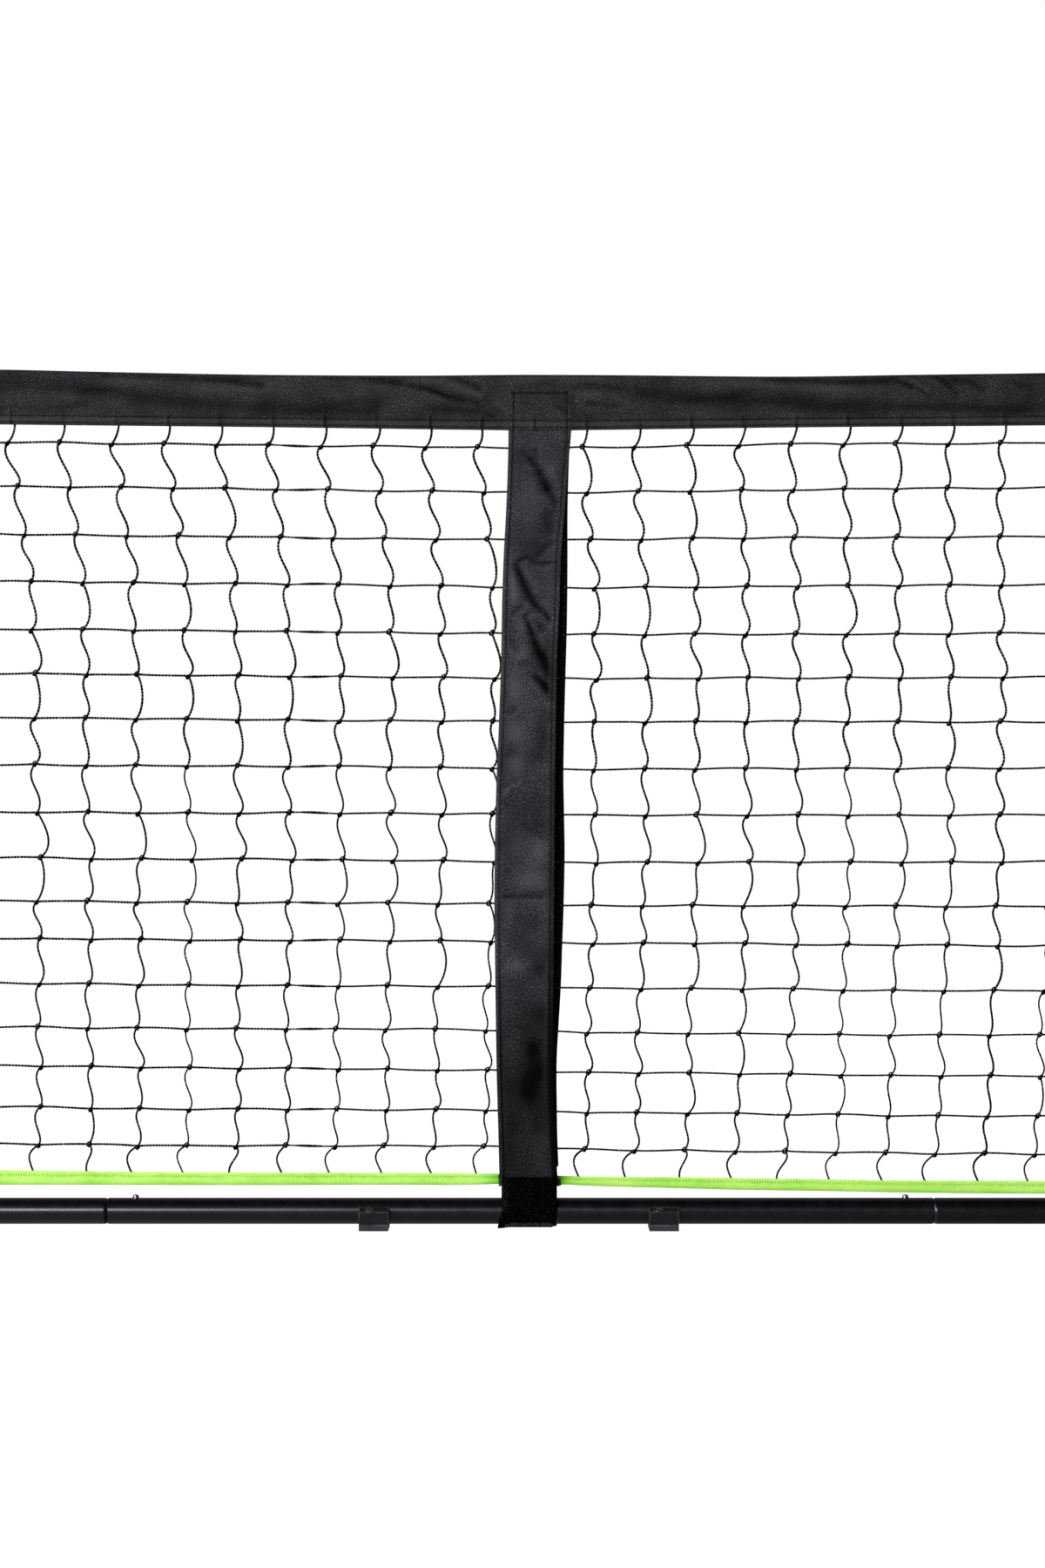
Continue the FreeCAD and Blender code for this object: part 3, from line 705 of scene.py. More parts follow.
# the feet's edges lighten to light grey: wear and a painted highlight
footPlastic = coatMaterial("footPlastic", dict(
    coatLook, colour=(0.0030, 0.0034, 0.0030), dusty=(0.008, 0.0085, 0.008),
    rubbedAndEdgeLit=(0.20, 0.20, 0.20), sockets={"Specular IOR Level": 0.15}, rough=0.66,
    peelScale=1100.0, peel=0.00012, wear=0.10, rubStretch=(1.0, 1.0, 0.6), edgeWearAndHighlight=1.0,
    edgeWidth=0.0011))
capPlastic = coatMaterial("capPlastic", dict(
    coatLook, colour=(0.009, 0.009, 0.010), dusty=(0.018, 0.018, 0.019), rough=0.5,
    peelScale=1400.0, peel=0.0001))
# the pad's edges lighten the same way: wear and a painted highlight
footRubber = coatMaterial("footRubber", dict(
    coatLook, colour=(0.023, 0.0222, 0.0235), dusty=(0.042, 0.041, 0.043),
    rubbedAndEdgeLit=(0.13, 0.13, 0.135), rough=0.85, peelScale=900.0, peel=0.0002, wear=0.25,
    sockets={"Specular IOR Level": 0.3}, edgeWearAndHighlight=0.8, edgeWidth=0.0010))


def metalMaterial(name, colour, rough, brush):
    material, tree, shader = newMaterial(name, colour, rough, {"Metallic": 1.0})
    where = coordinates(tree, "Object")
    grain = noiseOf(tree, where, 1500.0, 2.0, 0.6, stretch=brush)
    blotches = noiseOf(tree, where, 220.0, 3.0, 0.6)
    ramp(tree, blotches, [(0.35, [c * 0.72 for c in colour]), (0.7, colour)],
         shader.inputs["Base Color"])
    ramp(tree, grain, [(0.3, rough - 0.07), (0.8, rough + 0.15)], shader.inputs["Roughness"])
    bumpOf(tree, shader, grain, 0.00003)
    return material


nickel = metalMaterial("nickel", (0.66, 0.63, 0.58), 0.24, (1.0, 1.0, 1.0))
springSteel = metalMaterial("springSteel", (0.42, 0.43, 0.46), 0.35, (0.2, 1.0, 1.0))
screwSteel = metalMaterial("screwSteel", (0.16, 0.16, 0.17), 0.50, (1.0, 0.2, 1.0))
print("materials ready")


# Floor

floorShape = bmesh.new()
bmesh.ops.create_grid(floorShape, x_segments=1, y_segments=1, size=studio["floorSize"] / 2)
floorMesh = meshOf("floor", floorShape)
floorPaper, floorTree, floorShader = newMaterial("floorPaper", grey(0.18), 0.7, {
    "Specular IOR Level": 0.1, "Emission Color": (1, 1, 1, 1),
    "Emission Strength": studio["floorGlow"]})
floorTone = noiseOf(floorTree, coordinates(floorTree, "Object"), 1.3)
ramp(floorTree, floorTone, [(0.2, 0.16), (0.8, 0.20)], floorShader.inputs["Base Color"])
floorPaper.cycles.emission_sampling = "NONE"  # its glow is for the camera alone
floorMesh.materials.append(floorPaper)
floor = addObject("floor", floorMesh)
floor.visible_diffuse = False
floor.visible_glossy = False


# Lines of the court net that several pieces follow

court = {
    "centreHeight": 0.864,
    "endHeight": 0.914,
    "poleX": 3.353,
    "levelHalf": 0.264,
    "bandHeight": 0.0555,
    "bandEnd": 3.31305,
    "hemEnd": 3.31335,
    "bindingHeight": 0.0136,
    "bindingWave": 0.0045,
    "bindingWaveLength": 2.12,
    "bindingMiddle": 0.0533,
    "tubeAxis": 0.018,
    "tubeRadius": 0.01325,
}
slope = (court["endHeight"] - court["centreHeight"]) / (court["poleX"] - court["levelHalf"])
givenHalf = {"band": 0.90, "tape": 0.95}  # the lines below are given this far from the middle
bandTopLine = metres([
    (-900, 874.3), (-700, 871.2), (-527, 869.3), (-412, 866.7), (-262, 864), (-104, 863.2),
    (2, 864), (100, 863.6), (266, 862.2), (398, 864), (531, 865.8), (700, 869.5), (900, 874.3),
])
bandBottomLine = metres([
    (-900, 818.8), (-700, 816), (-527, 813.8), (-262, 811.1), (-11, 807.9), (50, 807.9),
    (266, 810.7), (531, 812.9), (700, 815), (900, 818.8),
])
tapeTopLine = metres([
    (-950, 54.8), (-700, 57.85), (-529, 59), (-438, 58), (-350, 57), (-262, 56.8), (-174, 56.6),
    (-110, 56.4), (-60, 56), (-22, 55.3), (37, 53.5), (64, 52.7), (116, 52.3), (178, 51.8),
    (222, 51.1), (310, 49.9), (380, 48.7), (487, 48.4), (529, 48), (700, 48.2), (950, 51.8),
])
tapeBottomLine = metres([
    (-950, 41.2), (-700, 44), (-529, 44.4), (-262, 44.1), (-130, 44.4), (-70, 44.2), (-33, 44.9),
    (-22, 45.2), (36, 44.3), (46, 44.5), (64, 43.7), (90, 42.7), (143, 41.4), (178, 40.4),
    (222, 39.3), (310, 38), (399, 36.4), (529, 35.3), (700, 35.2), (950, 38.2),
])


def courtTop(x):
    return court["centreHeight"] + slope * max(0.0, abs(x) - court["levelHalf"])


def bandTop(x):
    if abs(x) <= givenHalf["band"]:
        return glide(bandTopLine, x)
    return courtTop(x) + 0.0008 * ripple(x * 2.1, 0.0, 3.0) * ease(0.9, 1.2, abs(x))


def bandBottom(x):
    if abs(x) <= givenHalf["band"]:
        return glide(bandBottomLine, x)
    sway = 0.0009 * ripple(x * 2.7, 5.0, 3.0) * ease(0.9, 1.2, abs(x))
    return courtTop(x) - court["bandHeight"] + sway


def tapeWave(x):
    wave = math.sin(2 * math.pi * x / court["bindingWaveLength"])
    return court["bindingMiddle"] - court["bindingWave"] * wave


def tapeTop(x):
    return glide(tapeTopLine, x) if abs(x) <= givenHalf["tape"] else tapeWave(x)


def tapeBottom(x):
    if abs(x) <= givenHalf["tape"]:
        return glide(tapeBottomLine, x)
    return tapeWave(x) - court["bindingHeight"]


# Net: twisted twine, knotted at every crossing

netLook = {
    "columnRadius": 0.00114,
    "rowRadius": 0.00105,
    "columnPitch": 0.05295,
    "firstColumn": 0.0090,
    "columnsEachSide": 62,
    "centreColumns": 12,
    "rowShares": [
        0.0244, 0.0842, 0.1481, 0.2123, 0.2754, 0.3345, 0.3937, 0.4551, 0.5180,
        0.5805, 0.6382, 0.6893, 0.7492, 0.8084, 0.8617, 0.9156, 0.9648,
    ],
    # how far the net leans sideways a third of the way down, two thirds down and at its foot
    "swayHigh": metres([
        (-3300, 0), (-2700, 10), (-2000, -8), (-1300, 12), (-750, 29), (-520, 27.4),
        (-360, 23.4), (-260, 20.8), (-100, 18), (60, 13.7), (220, 8.3), (330, 4.2), (430, 1.7),
        (600, -1), (1200, -10), (1900, 9), (2600, -10), (3300, 0),
    ]),
    "swayLow": metres([
        (-3300, 0), (-2700, 12), (-2000, -6), (-1300, 14), (-750, 35), (-520, 32.5), (-360, 26),
        (-200, 19.4), (-100, 15.2), (60, 11.3), (220, 6.6), (330, 3.6), (430, 0), (600, -6),
        (1200, -14), (1900, 6), (2600, -12), (3300, 0),
    ]),
    "swayFoot": metres([
        (-3300, 0), (-2700, 12), (-2000, -4), (-1300, 16), (-750, 40), (-520, 35.2), (-360, 26),
        (-200, 16.9), (-100, 11.2), (60, 4.8), (220, -1.5), (330, -5.9), (430, -10.4),
        (490, -13.5), (750, -24), (1200, -16), (1900, 4), (2600, -12), (3300, 0),
    ]),
    "swayDown": [(0.0, 0.0), (0.0236, 0.04), (0.0824, 0.45), (0.1464, 0.66), (0.2116, 0.90),
                 (0.3333, 1.0)],
    "rowSway": [0.0, -0.7, -0.4, 0.8, -1.0, 1.7, 0.0, -0.5, 0.9, 3.2, -1.6, 1.4, -0.5, -2.2, 0.9,
                0.1, -2.0],  # millimetres
    "lean": (24.0, 54.0),  # degrees from upright as a cord leaves a knot
    "reach": (0.28, 0.48),  # handle length as a share of the cell
    "roundCells": 0.14,  # share of cells that bow one way only
    "depth": 0.0016,  # how far a cord bows out of the net's plane
    "kink": 0.0012,
    "insideBand": 0.010,
    "insideTape": 0.004,
    "insideSleeve": 0.008,
    "entryDrift": (0.003, 0.007),
    "footDrift": (-0.0085, -0.0010),
    "lastLeans": ((46, 66), (14, 30)),
    "lastReaches": (0.60, 0.50),
}
netRandom = random.Random(41)


def netLean(degrees=netLook["lean"]):
    return math.radians(netRandom.uniform(*degrees))


def netShare(x, share):
    top = bandBottom(x)
    return top + (tapeTop(x) - top) * share


def netSway(x, share):
    high = glide(netLook["swayHigh"], x)
    if share < 0.3333:
        return high * glide(netLook["swayDown"], share)
    low = glide(netLook["swayLow"], x)
    foot = glide(netLook["swayFoot"], x)
    return glide([(0.3333, high), (0.64, low), (0.93, foot)], share)


def knotPlace(column, row):
    # row 0 is the top one
    restX = netLook["firstColumn"] + netLook["columnPitch"] * column
    share = netLook["rowShares"][row]
    x = restX + netSway(restX, share)
    x += 0.001 * netLook["rowSway"][row] * (1 - ease(2.9, 3.3, abs(restX)))
    x += 0.0008 * ripple(column * 1.7, row * 1.3, 11.0)
    z = netShare(x, share)
    z += 0.0022 * math.exp(-((share - 0.54) / 0.12) ** 2) * max(-1.0, min(1.0, 1.5 * x))
    z += 0.0014 * ripple(restX * 1.6, row * 2.4, 17.0) + 0.0008
    z += 0.0006 if (column + row) % 2 else -0.0006
    y = 0.0011 * ripple(column * 0.6, row * 0.7, 23.0)
    limit = court["hemEnd"] - 0.004
    return Vector((min(limit, max(-limit, x)), y, z))


columnNumbers = range(-netLook["columnsEachSide"], netLook["columnsEachSide"] + 1)
rowNumbers = range(len(netLook["rowShares"]))
knots = {(c, r): knotPlace(c, r) for c in columnNumbers for r in rowNumbers}


def columnLine(column):
    first = knots[column, 0]
    entry = first + Vector((netRandom.uniform(*netLook["entryDrift"]), 0, 0))
    entry.z = bandBottom(entry.x) + netLook["insideBand"]
    last = knots[column, len(netLook["rowShares"]) - 1]
    foot = last + Vector((netRandom.uniform(*netLook["footDrift"]), 0, 0))
    foot.z = tapeTop(foot.x) - netLook["insideTape"]
    places = [entry] + [knots[column, r] for r in rowNumbers] + [foot]
    arrive = [None] * len(places)
    leave = [None] * len(places)
    for i, (a, b) in enumerate(zip(places, places[1:])):
        height = a.z - b.z
        outLean = netLean()
        inLean = netLean()
        outReach = height * netRandom.uniform(*netLook["reach"])
        inReach = height * netRandom.uniform(*netLook["reach"])
        outSide = 0.5 if netRandom.random() < netLook["roundCells"] else -1.0
        inSide = 1.0
        if i == 0:
            outSide = 0.3
            inReach = height * 0.35
        if i == len(places) - 2:
            inSide = -1.0
            outLean, inLean = [netLean(lean) for lean in netLook["lastLeans"]]
            outReach, inReach = [height * share for share in netLook["lastReaches"]]
        depth = netRandom.uniform(-netLook["depth"], netLook["depth"])
        leave[i] = a + Vector((outSide * math.sin(outLean), 0, -math.cos(outLean))) * outReach
        arrive[i + 1] = b + Vector((inSide * math.sin(inLean), 0, math.cos(inLean))) * inReach
        leave[i].y += depth
        arrive[i + 1].y -= depth
    arrive[0] = places[0] + Vector((0, 0, 0.003))
    leave[-1] = places[-1] - Vector((0, 0, 0.002))
    return list(zip(places, arrive, leave))


def rowLine(row):
    last = netLook["columnsEachSide"]
    edge = court["hemEnd"] + netLook["insideSleeve"]
    left, right = [Vector((side * edge, 0, knots[side * last, row].z)) for side in (-1, 1)]
    places = [left] + [knots[c, row] for c in columnNumbers] + [right]
    kink = netLook["kink"]
    return handled(places, [Vector((0, 0, netRandom.uniform(-kink, kink))) for _ in places])


def netPiece(kind, part, lines, steps, length, halfTurns=0, standsFor=()):
    name = "net_" + kind + "s_" + part
    mesh = cordMesh(name, lines, netLook[kind + "Radius"], 6, steps, length, halfTurns)
    addPiece(name, mesh, twineBlack, "net_twine", standsFor=standsFor)


near = netLook["centreColumns"]
centreLines = [columnLine(c) for c in columnNumbers if abs(c) <= near]
leftLines = [columnLine(c) for c in columnNumbers if c < -near]
rightLines = [columnLine(c) for c in columnNumbers if c > near]
netPiece("column", "centre", centreLines, 46, 0.86, 15, ("net",))
netPiece("column", "left", leftLines, 7, 0.86)
netPiece("column", "right", rightLines, 7, 0.86)
rowLines = [rowLine(r) for r in rowNumbers]
nearStart = 1 + netLook["columnsEachSide"] - near
nearEnd = nearStart + 2 * near
netPiece("row", "centre", [line[nearStart:nearEnd + 1] for line in rowLines], 50, 1.28, 17)
netPiece("row", "left", [line[:nearStart + 1] for line in rowLines], 3, 2.69)
netPiece("row", "right", [line[nearEnd:] for line in rowLines], 3, 2.69)


def knotShape(ringRadius, cordRadius, barLength, barShift):
    # one turn of the twine round itself, with its tail laid across
    shape = bmesh.new()
    ring = bmesh.ops.create_circle(shape, segments=4, radius=cordRadius, cap_ends=False)
    turn = Matrix.Translation((ringRadius, 0, 0)) @ Matrix.Rotation(math.radians(90), 4, "X")
    bmesh.ops.transform(shape, matrix=turn, verts=ring["verts"])
    bmesh.ops.spin(shape, geom=shape.verts[:] + shape.edges[:], cent=(0, 0, 0), axis=(0, 0, 1),
                   angle=2 * math.pi, steps=8, use_merge=True)
    bar = bmesh.ops.create_cone(shape, cap_ends=True, segments=4, radius1=cordRadius,
                                radius2=cordRadius, depth=barLength)
    lay = (Matrix.Translation((0, barShift, cordRadius * 0.9))
           @ Matrix.Rotation(math.radians(90), 4, "Y"))
    bmesh.ops.transform(shape, matrix=lay, verts=bar["verts"])
    bmesh.ops.recalc_face_normals(shape, faces=shape.faces[:])
    shape.loops.layers.uv.new("UVMap")
    return meshOf("knot", shape)


openKnot = knotShape(0.00215, 0.00078, 0.0044, -0.0021)
tightKnot = knotShape(0.00165, 0.00095, 0.0046, -0.0006)


def knotPiece(name, columns):
    shape = bmesh.new()
    face = Matrix.Rotation(math.radians(90), 4, "X")
    for column in columns:
        for row in rowNumbers:
            isOpen = (column + row) % 2 == 1
            model = openKnot if isOpen else tightKnot
            lean = math.radians(netRandom.uniform(38, 62))
            place = knots[column, row] + Vector((-0.0003, 0, 0.0002 if isOpen else -0.0010))
            stretch = Matrix.Diagonal((netRandom.uniform(1.1, 1.35), 0.95, 1.1, 1))
            move = Matrix.Translation(place) @ Matrix.Rotation(-lean, 4, "Y") @ face @ stretch
            model.transform(move)
            shape.from_mesh(model)
            model.transform(move.inverted())
    addPiece(name, meshOf(name, shape), twineBlack, "net_twine")


knotPiece("net_knots_left", [c for c in columnNumbers if c < 0])
knotPiece("net_knots_right", [c for c in columnNumbers if c >= 0])
for spare in (openKnot, tightKnot):
    bpy.data.meshes.remove(spare)
print("net ready:", len(columnNumbers), "columns and", len(rowNumbers), "rows")


# Centre strap: where its two panels hang

strap = {
    "top": 0.8446,
    "frontBottom": 0.0534,
    "backBottom": 0.0620,
    "thickness": 0.0012,
    "topFace": 0.0035,  # outer faces from the net's plane, at the band's lower edge
    "frontFootFace": 0.01655,
    "backFootFace": 0.01235,
    "hem": 0.0044,
    "hemRows": [0, 0.0022, 0.0036, 0.0044, 0.0052, 0.0066],
    "seamDip": 0.00035,
    "lowSeam": 0.0035,
    "frontLeftEdge": metres([
        (53.4, -21.4), (72.4, -21.8), (109.3, -22.8), (149.6, -24), (188.2, -24.7),
        (265.4, -25.7), (342.7, -26.4), (438.5, -24.8), (506.2, -22.1), (573, -19.7),
        (636.4, -18.6), (682.2, -17), (727.1, -14.6), (768.5, -13), (807.3, -12.2), (844.6, -12),
    ]),
    "frontRightEdge": metres([
        (53.4, 37.4), (72.4, 36), (109.3, 34.1), (149.6, 32.5), (188.2, 32.8), (265.4, 33.3),
        (342.7, 34), (438.5, 34.8), (506.2, 35.7), (573, 36.9), (636.4, 39.6), (682.2, 41.1),
        (727.1, 45), (768.5, 47.9), (807.3, 51.3), (844.6, 51.5),
    ]),
    "backRightEdge": metres([
        (62, 38.6), (90, 37.5), (110, 37.1), (168, 36.8), (207, 38.8), (245, 41), (284, 42.3),
        (323, 43.7), (381, 44.8), (420, 44.2), (459, 43.6), (517, 44.5), (556, 45.5),
        (614, 47.1), (672, 47.7), (731, 47.8), (808, 50), (844.6, 50.5),
    ]),
    "backLeftEdge": metres([
        (62, -19.5), (200, -20.5), (440, -16.5), (620, -13), (844.6, -10.5),
    ]),
    "creases": creaseRows([
        (2, 1.8, 0.55, (2.5, 785), (10, 778.5)),
        (2.8, 3.2, 0.8, (10, 778.5), (17, 770), (20, 765)),
        (3.2, 5.4, 0.92, (19.5, 764), (23.5, 756), (27.5, 748)),
        (2.2, 4.2, 0.65, (27.5, 748), (31, 742), (36, 734)),
        (0.8, 2, 0.35, (15, 788), (16, 777)),
        (1.2, 4.4, 0.28, (27, 725), (26.5, 715), (31, 708)),
        (1, 2.8, 0.38, (25, 720), (37, 727)),
        (1.2, 3, 0.42, (17, 680), (24, 689), (34, 695)),
        (1.6, 2.1, 0.7, (-5, 672.5), (-1, 676.5), (6, 679), (12, 676.5), (16, 673.5)),
        (1.6, 2.3, 0.68, (15, 673.5), (24, 672.5), (36, 675)),
        (3.6, 4.3, 1, (-4, 669), (0.5, 659), (5, 649), (10, 639), (16, 630)),
        (3, 3.6, 0.96, (16, 630), (24, 623.5), (29, 617)),
        (1.4, 1.9, 0.55, (29, 617), (26, 609), (21, 603)),
        (1.4, 2.1, 0.65, (5, 619.5), (11, 625), (20, 624)),
        (1, 1.9, 0.5, (22, 613), (19, 605), (16.5, 601)),
        (1, 2.2, 0.42, (-8, 622), (-4, 627), (1, 629)),
        (2.6, 2.8, 0.88, (4.8, 619), (8, 611), (11.5, 602)),
        (3.4, 4.6, 0.98, (11.5, 602), (16, 590), (20, 581)),
        (3.4, 6.2, 1, (20, 581), (26, 570), (33, 560)),
        (2.6, 4, 0.9, (16, 558), (23, 551), (30, 542), (34.5, 535)),
        (1, 2.8, 0.38, (-14, 599), (-8, 592), (-2, 584)),
        (0.8, 2.4, 0.38, (0, 570), (6, 573)),
        (1, 2.6, 0.42, (-16, 524), (-10, 523.5), (-5, 526)),
        (-1.2, 1.7, -0.7, (-18, 437), (-13, 444), (-8, 448), (0, 451.5)),
        (1.2, 2.6, 0.42, (4, 408), (14, 401), (25, 395)),
        (1.6, 2.5, 0.6, (-19, 335.5), (-5, 337), (3, 337)),
        (1.8, 3.2, 0.78, (6, 337.5), (17, 337), (28, 339)),
    ]),
    "patches": patchRows([
        (11, 735, 11, 30, -0.32), (31, 770, 6, 9, -0.25), (-8.5, 656, 4.5, 18, -0.6),
        (-5, 638, 6, 10, -0.35), (0, 582, 8, 9, -0.42), (1, 608, 6, 10, -0.3),
        (-7, 548, 8.5, 15, -0.58), (-5, 503, 10.5, 12, -0.58), (-4, 468, 8.5, 12, -0.48),
        (8, 535, 9, 16, -0.2), (26, 462, 6, 6, -0.22), (-5, 388, 12, 14, -0.28),
        (20, 383, 8, 10, -0.28), (10, 353, 18, 9, -0.34), (-12, 318, 6, 12, -0.38),
        (-6, 266, 11.5, 7, -0.5), (-15, 237, 4, 4, -0.35), (-13, 187, 5, 8, -0.22),
        (15, 690, 8, 8, 0.18), (27, 713, 8, 10, 0.14), (16, 613, 8.5, 7.5, 0.45),
        (30, 584, 7, 15, 0.38), (29, 550, 8, 11, 0.8), (24, 500, 9, 15, 0.42),
        (19, 478, 10, 10, 0.42), (-10, 483, 7, 6, 0.4), (29, 456, 5, 6, 0.28),
        (7, 433, 26, 15, 0.38), (20, 410, 14, 12, 0.38), (-15, 362, 6, 5, 0.28),
        (26, 364, 6, 6, 0.25), (11, 311, 14, 11, 0.44), (19, 265, 8, 9.5, 0.45),
        (21, 219, 8, 9, 0.22), (12, 185, 8.5, 11, 0.18), (20, 160, 8.5, 10, 0.16),
        (7, 140, 9, 12, 0.18), (16, 102, 8, 9, 0.2), (14, 195, 23, 85, 0.26),
    ]),
}


def strapFace(side, z):
    # how far from the net's plane the outer face of the front or back panel is
    top = bandBottom(0.02)
    share = max(0.0, (top - z) / (top - strap[side + "Bottom"]))
    return strap["topFace"] + (strap[side + "FootFace"] - strap["topFace"]) * share


# Headband: cloth folded over the rope and sewn along its lower edge

band = {
    "fold": 0.0033,
    "hemHalf": 0.0021,
    "cloth": 0.0008,
    "seams": (0.0025, 0.0090),  # heights above the lower edge
    "seamDip": 0.00045,
    "overStrap": 0.0045,  # half thickness where the strap's top is sewn in
    "boxTop": 0.8451,
    "boxSides": (-0.0070, 0.0469),
    "creases": creaseRows([
        (1, 7, 0.42, (-530, 856), (-470, 852), (-421, 847.5), (-386, 842.5), (-350, 837),
         (-298, 832.5), (-245, 829.5), (-145, 827)),
        (0.6, 4, 0.3, (-530, 831), (-470, 830), (-440, 835)),
        (0.6, 3.4, 0.42, (-421, 864), (-370, 863), (-333, 860.5)),
        (1, 3.2, 0.6, (-333, 860.5), (-303, 858.5), (-280, 855.5), (-262, 853)),
        (1, 3, 0.6, (-200, 863), (-160, 861), (-140, 858), (-120, 854.5)),
        (1.4, 2.6, 0.68, (-113, 853), (-95, 849.5), (-75, 842), (-58, 838.5)),
        (0.8, 2.6, 0.38, (-58, 838.5), (-43, 834.5)),
        (1, 2.6, 0.52, (-70, 862), (-56, 857), (-42, 850.5)),
        (-1, 2.8, -0.45, (-98, 859), (-75, 855), (-50, 845.5), (-40, 843)),
        (-0.6, 1.8, -0.35, (-26, 837), (-14, 828)),
        (0.5, 4.8, 0.38, (-86, 830), (-43, 827)),
        (0.6, 1.6, 0.55, (-36, 825), (-27, 821)),
        (0.8, 3.6, 0.38, (56, 852), (80, 852), (108, 849)),
        (1, 7.6, 0.45, (120, 846), (160, 841), (210, 838.5), (260, 837), (310, 833), (370, 832)),
        (1, 5.6, 0.5, (370, 832), (430, 831), (500, 829), (530, 830)),
        (0.6, 2.4, 0.42, (66, 835.5), (85, 833.5), (98, 832)),
        (0.9, 1.6, 0.6, (37.2, 831.4), (46.1, 825.7)),
        (1, 3.4, 0.6, (250, 860), (284, 858.5), (319, 856.5), (345, 857), (372, 857)),
        (1.4, 2.1, 0.85, (376, 860), (386, 855.5), (396, 851)),
        (0.8, 1.4, 0.55, (396, 853), (408, 846), (416, 840)),
        (-1, 1.9, -0.45, (385, 862), (399, 856), (412, 847)),
        (1.2, 2.2, 0.78, (420, 862), (428, 857), (435, 851)),
        (1, 1.6, 0.5, (438, 848), (443, 842)),
        (0.8, 3, 0.48, (438, 858), (452, 857), (468, 848)),
        (0.8, 3, 0.42, (496, 857), (515, 850)),
    ]),
    "patches": patchRows([
        (-456, 843, 10, 6, -0.25), (-395, 856, 50, 4, -0.2), (-298, 848, 60, 5, -0.25),
        (-245, 856, 30, 5, -0.18), (-170, 845, 40, 7, -0.15), (10, 860, 20, 3.5, -0.35),
        (75, 860, 25, 5, -0.22), (70, 843, 13, 4, -0.22), (220, 854, 50, 4, -0.28),
        (305, 849, 40, 5, -0.28), (343, 842, 12, 5, -0.32), (525, 859, 10, 4, -0.3),
    ]),
    "foldedLoops": 0.0016,  # half width of the twine's ridge inside the hem
    "heights": metres([
        0, 1, 1.9, 2.5, 3.1, 4, 6, 8.1, 9, 9.9, 11.7, 14, 16.5, 19, 21.8, 24.6, 27.4, 30.2, 33,
        35.2, 36.2, 36.8, 37.4, 39, 42, 45.2, 48.6, 52.2,
    ]),
    "backHeights": metres([0, 1.6, 2.5, 3.4, 6, 8.2, 9, 9.8, 15, 24, 33, 43, 52.2]),
}
straightRun = band["heights"][-1]
foldRun = math.pi * band["fold"]
bandWidth = 2 * straightRun + foldRun


def columnNear(x, shift):
    # number of the net's column nearest to x, and how far to the right of it x is
    entry = (x - shift - netLook["firstColumn"]) / netLook["columnPitch"]
    return round(entry), (entry - round(entry)) * netLook["columnPitch"]


def bandHalf(x, height, z, seed):
    # half thickness of the headband, and the painted shade or light of the cloth there
    rise = ease(0.009, straightRun, height)
    half = band["hemHalf"] + (band["fold"] - band["hemHalf"]) * rise
    shade = 0.0
    sewn = ease(-0.0185, -0.0095, x) * (1 - ease(0.0495, 0.0560, x))
    under = sewn * (1 - ease(band["boxTop"] + 0.001, band["boxTop"] + 0.005, z))
    half += (band["overStrap"] - half) * under
    puff = ease(0.009, 0.014, height) * (1 - ease(0.047, straightRun, height))
    diagonal = ripple(x * 22 + z * 38, z * 70 - x * 12, seed)
    broad = ripple(x * 7, z * 30, seed + 4.0)
    centre = 1 - ease(0.45, 0.62, abs(x)) if seed < 40 else 0.0
    half += puff * (0.0011 * diagonal * (1 - centre) + 0.0007 * broad + 0.0004)
    # painted shade in the troughs of the diagonal wrinkles
    shade += puff * max(0.0, -diagonal - 0.12) * 1.1 * (1 - 0.7 * centre)
    if centre > 0:
        depth, dark = foldsAt(x, z, band["creases"], band["patches"], 0.2)
        soft = ease(0.0090, 0.0112, height)
        half -= depth * soft * centre
        shade += 1.2 * dark * soft * centre
    half = max(half, band["hemHalf"] * 0.9)
    hem = 1 - ease(0.0110, 0.0160, height)
    if hem > 0 and abs(x) < 0.6:
        column, away = columnNear(x, 0.0035)
        tight = 0.6 + 0.5 * ripple(column * 2.3, 1.0, 13.0)
        half += 0.0004 * bell(away, 0, band["foldedLoops"]) * hem
        # painted shade right of each ridge of twine inside the hem, painted light left of it
        shade += 1.1 * tight * hem * bell(away, 0.0016, 0.0014)
        shade -= 0.5 * tight * hem * bell(away, -0.0008, 0.0010)
    sewn = 0.0
    for seam in band["seams"]:
        close = bell(height, seam, 0.0006)
        sewn += close
        # painted shade in the sewn groove along each seam
        shade += (0.9 + 0.35 * ripple(x * 55, seam * 400, 3.0)) * close
    if under > 0.02:
        left, right = band["boxSides"]
        box = 0.0
        if z < band["boxTop"] + 0.001:
            box = bell(x, left, 0.0007) + bell(x, right, 0.0007)
        if left - 0.001 < x < right + 0.001:
            box += bell(z, band["boxTop"], 0.0008)
        sewn += box
        # painted shade in the groove of the box stitch
        shade += 0.9 * box
    half -= band["seamDip"] * sewn
    # painted light on the hem band below the upper seam
    hemLight = 0.36 * (1 - ease(0.0080, 0.0092, height)) * ease(0.0002, 0.0012, height)
    shade = max(-1.0, min(1.0, shade))
    return half, shade - hemLight * (1 - max(0.0, shade))


def bandPlace(x, across):
    top = bandTop(x)
    bottom = bandBottom(x)
    rise = top - bottom - band["fold"]
    if across <= straightRun or across >= bandWidth - straightRun:
        front = across <= straightRun
        height = across if front else bandWidth - across
        z = bottom + rise * height / straightRun
        half, shade = bandHalf(x, height, z, 31.0 if front else 57.0)
        return Vector((x, -half if front else half, z)), shade
    angle = (across - straightRun) / band["fold"]
    y = -band["fold"] * math.cos(angle)
    # painted shade along the top of the fold
    topShade = 0.75 * math.sin(angle) ** 4
    return Vector((x, y, top - band["fold"] + band["fold"] * math.sin(angle))), topShade


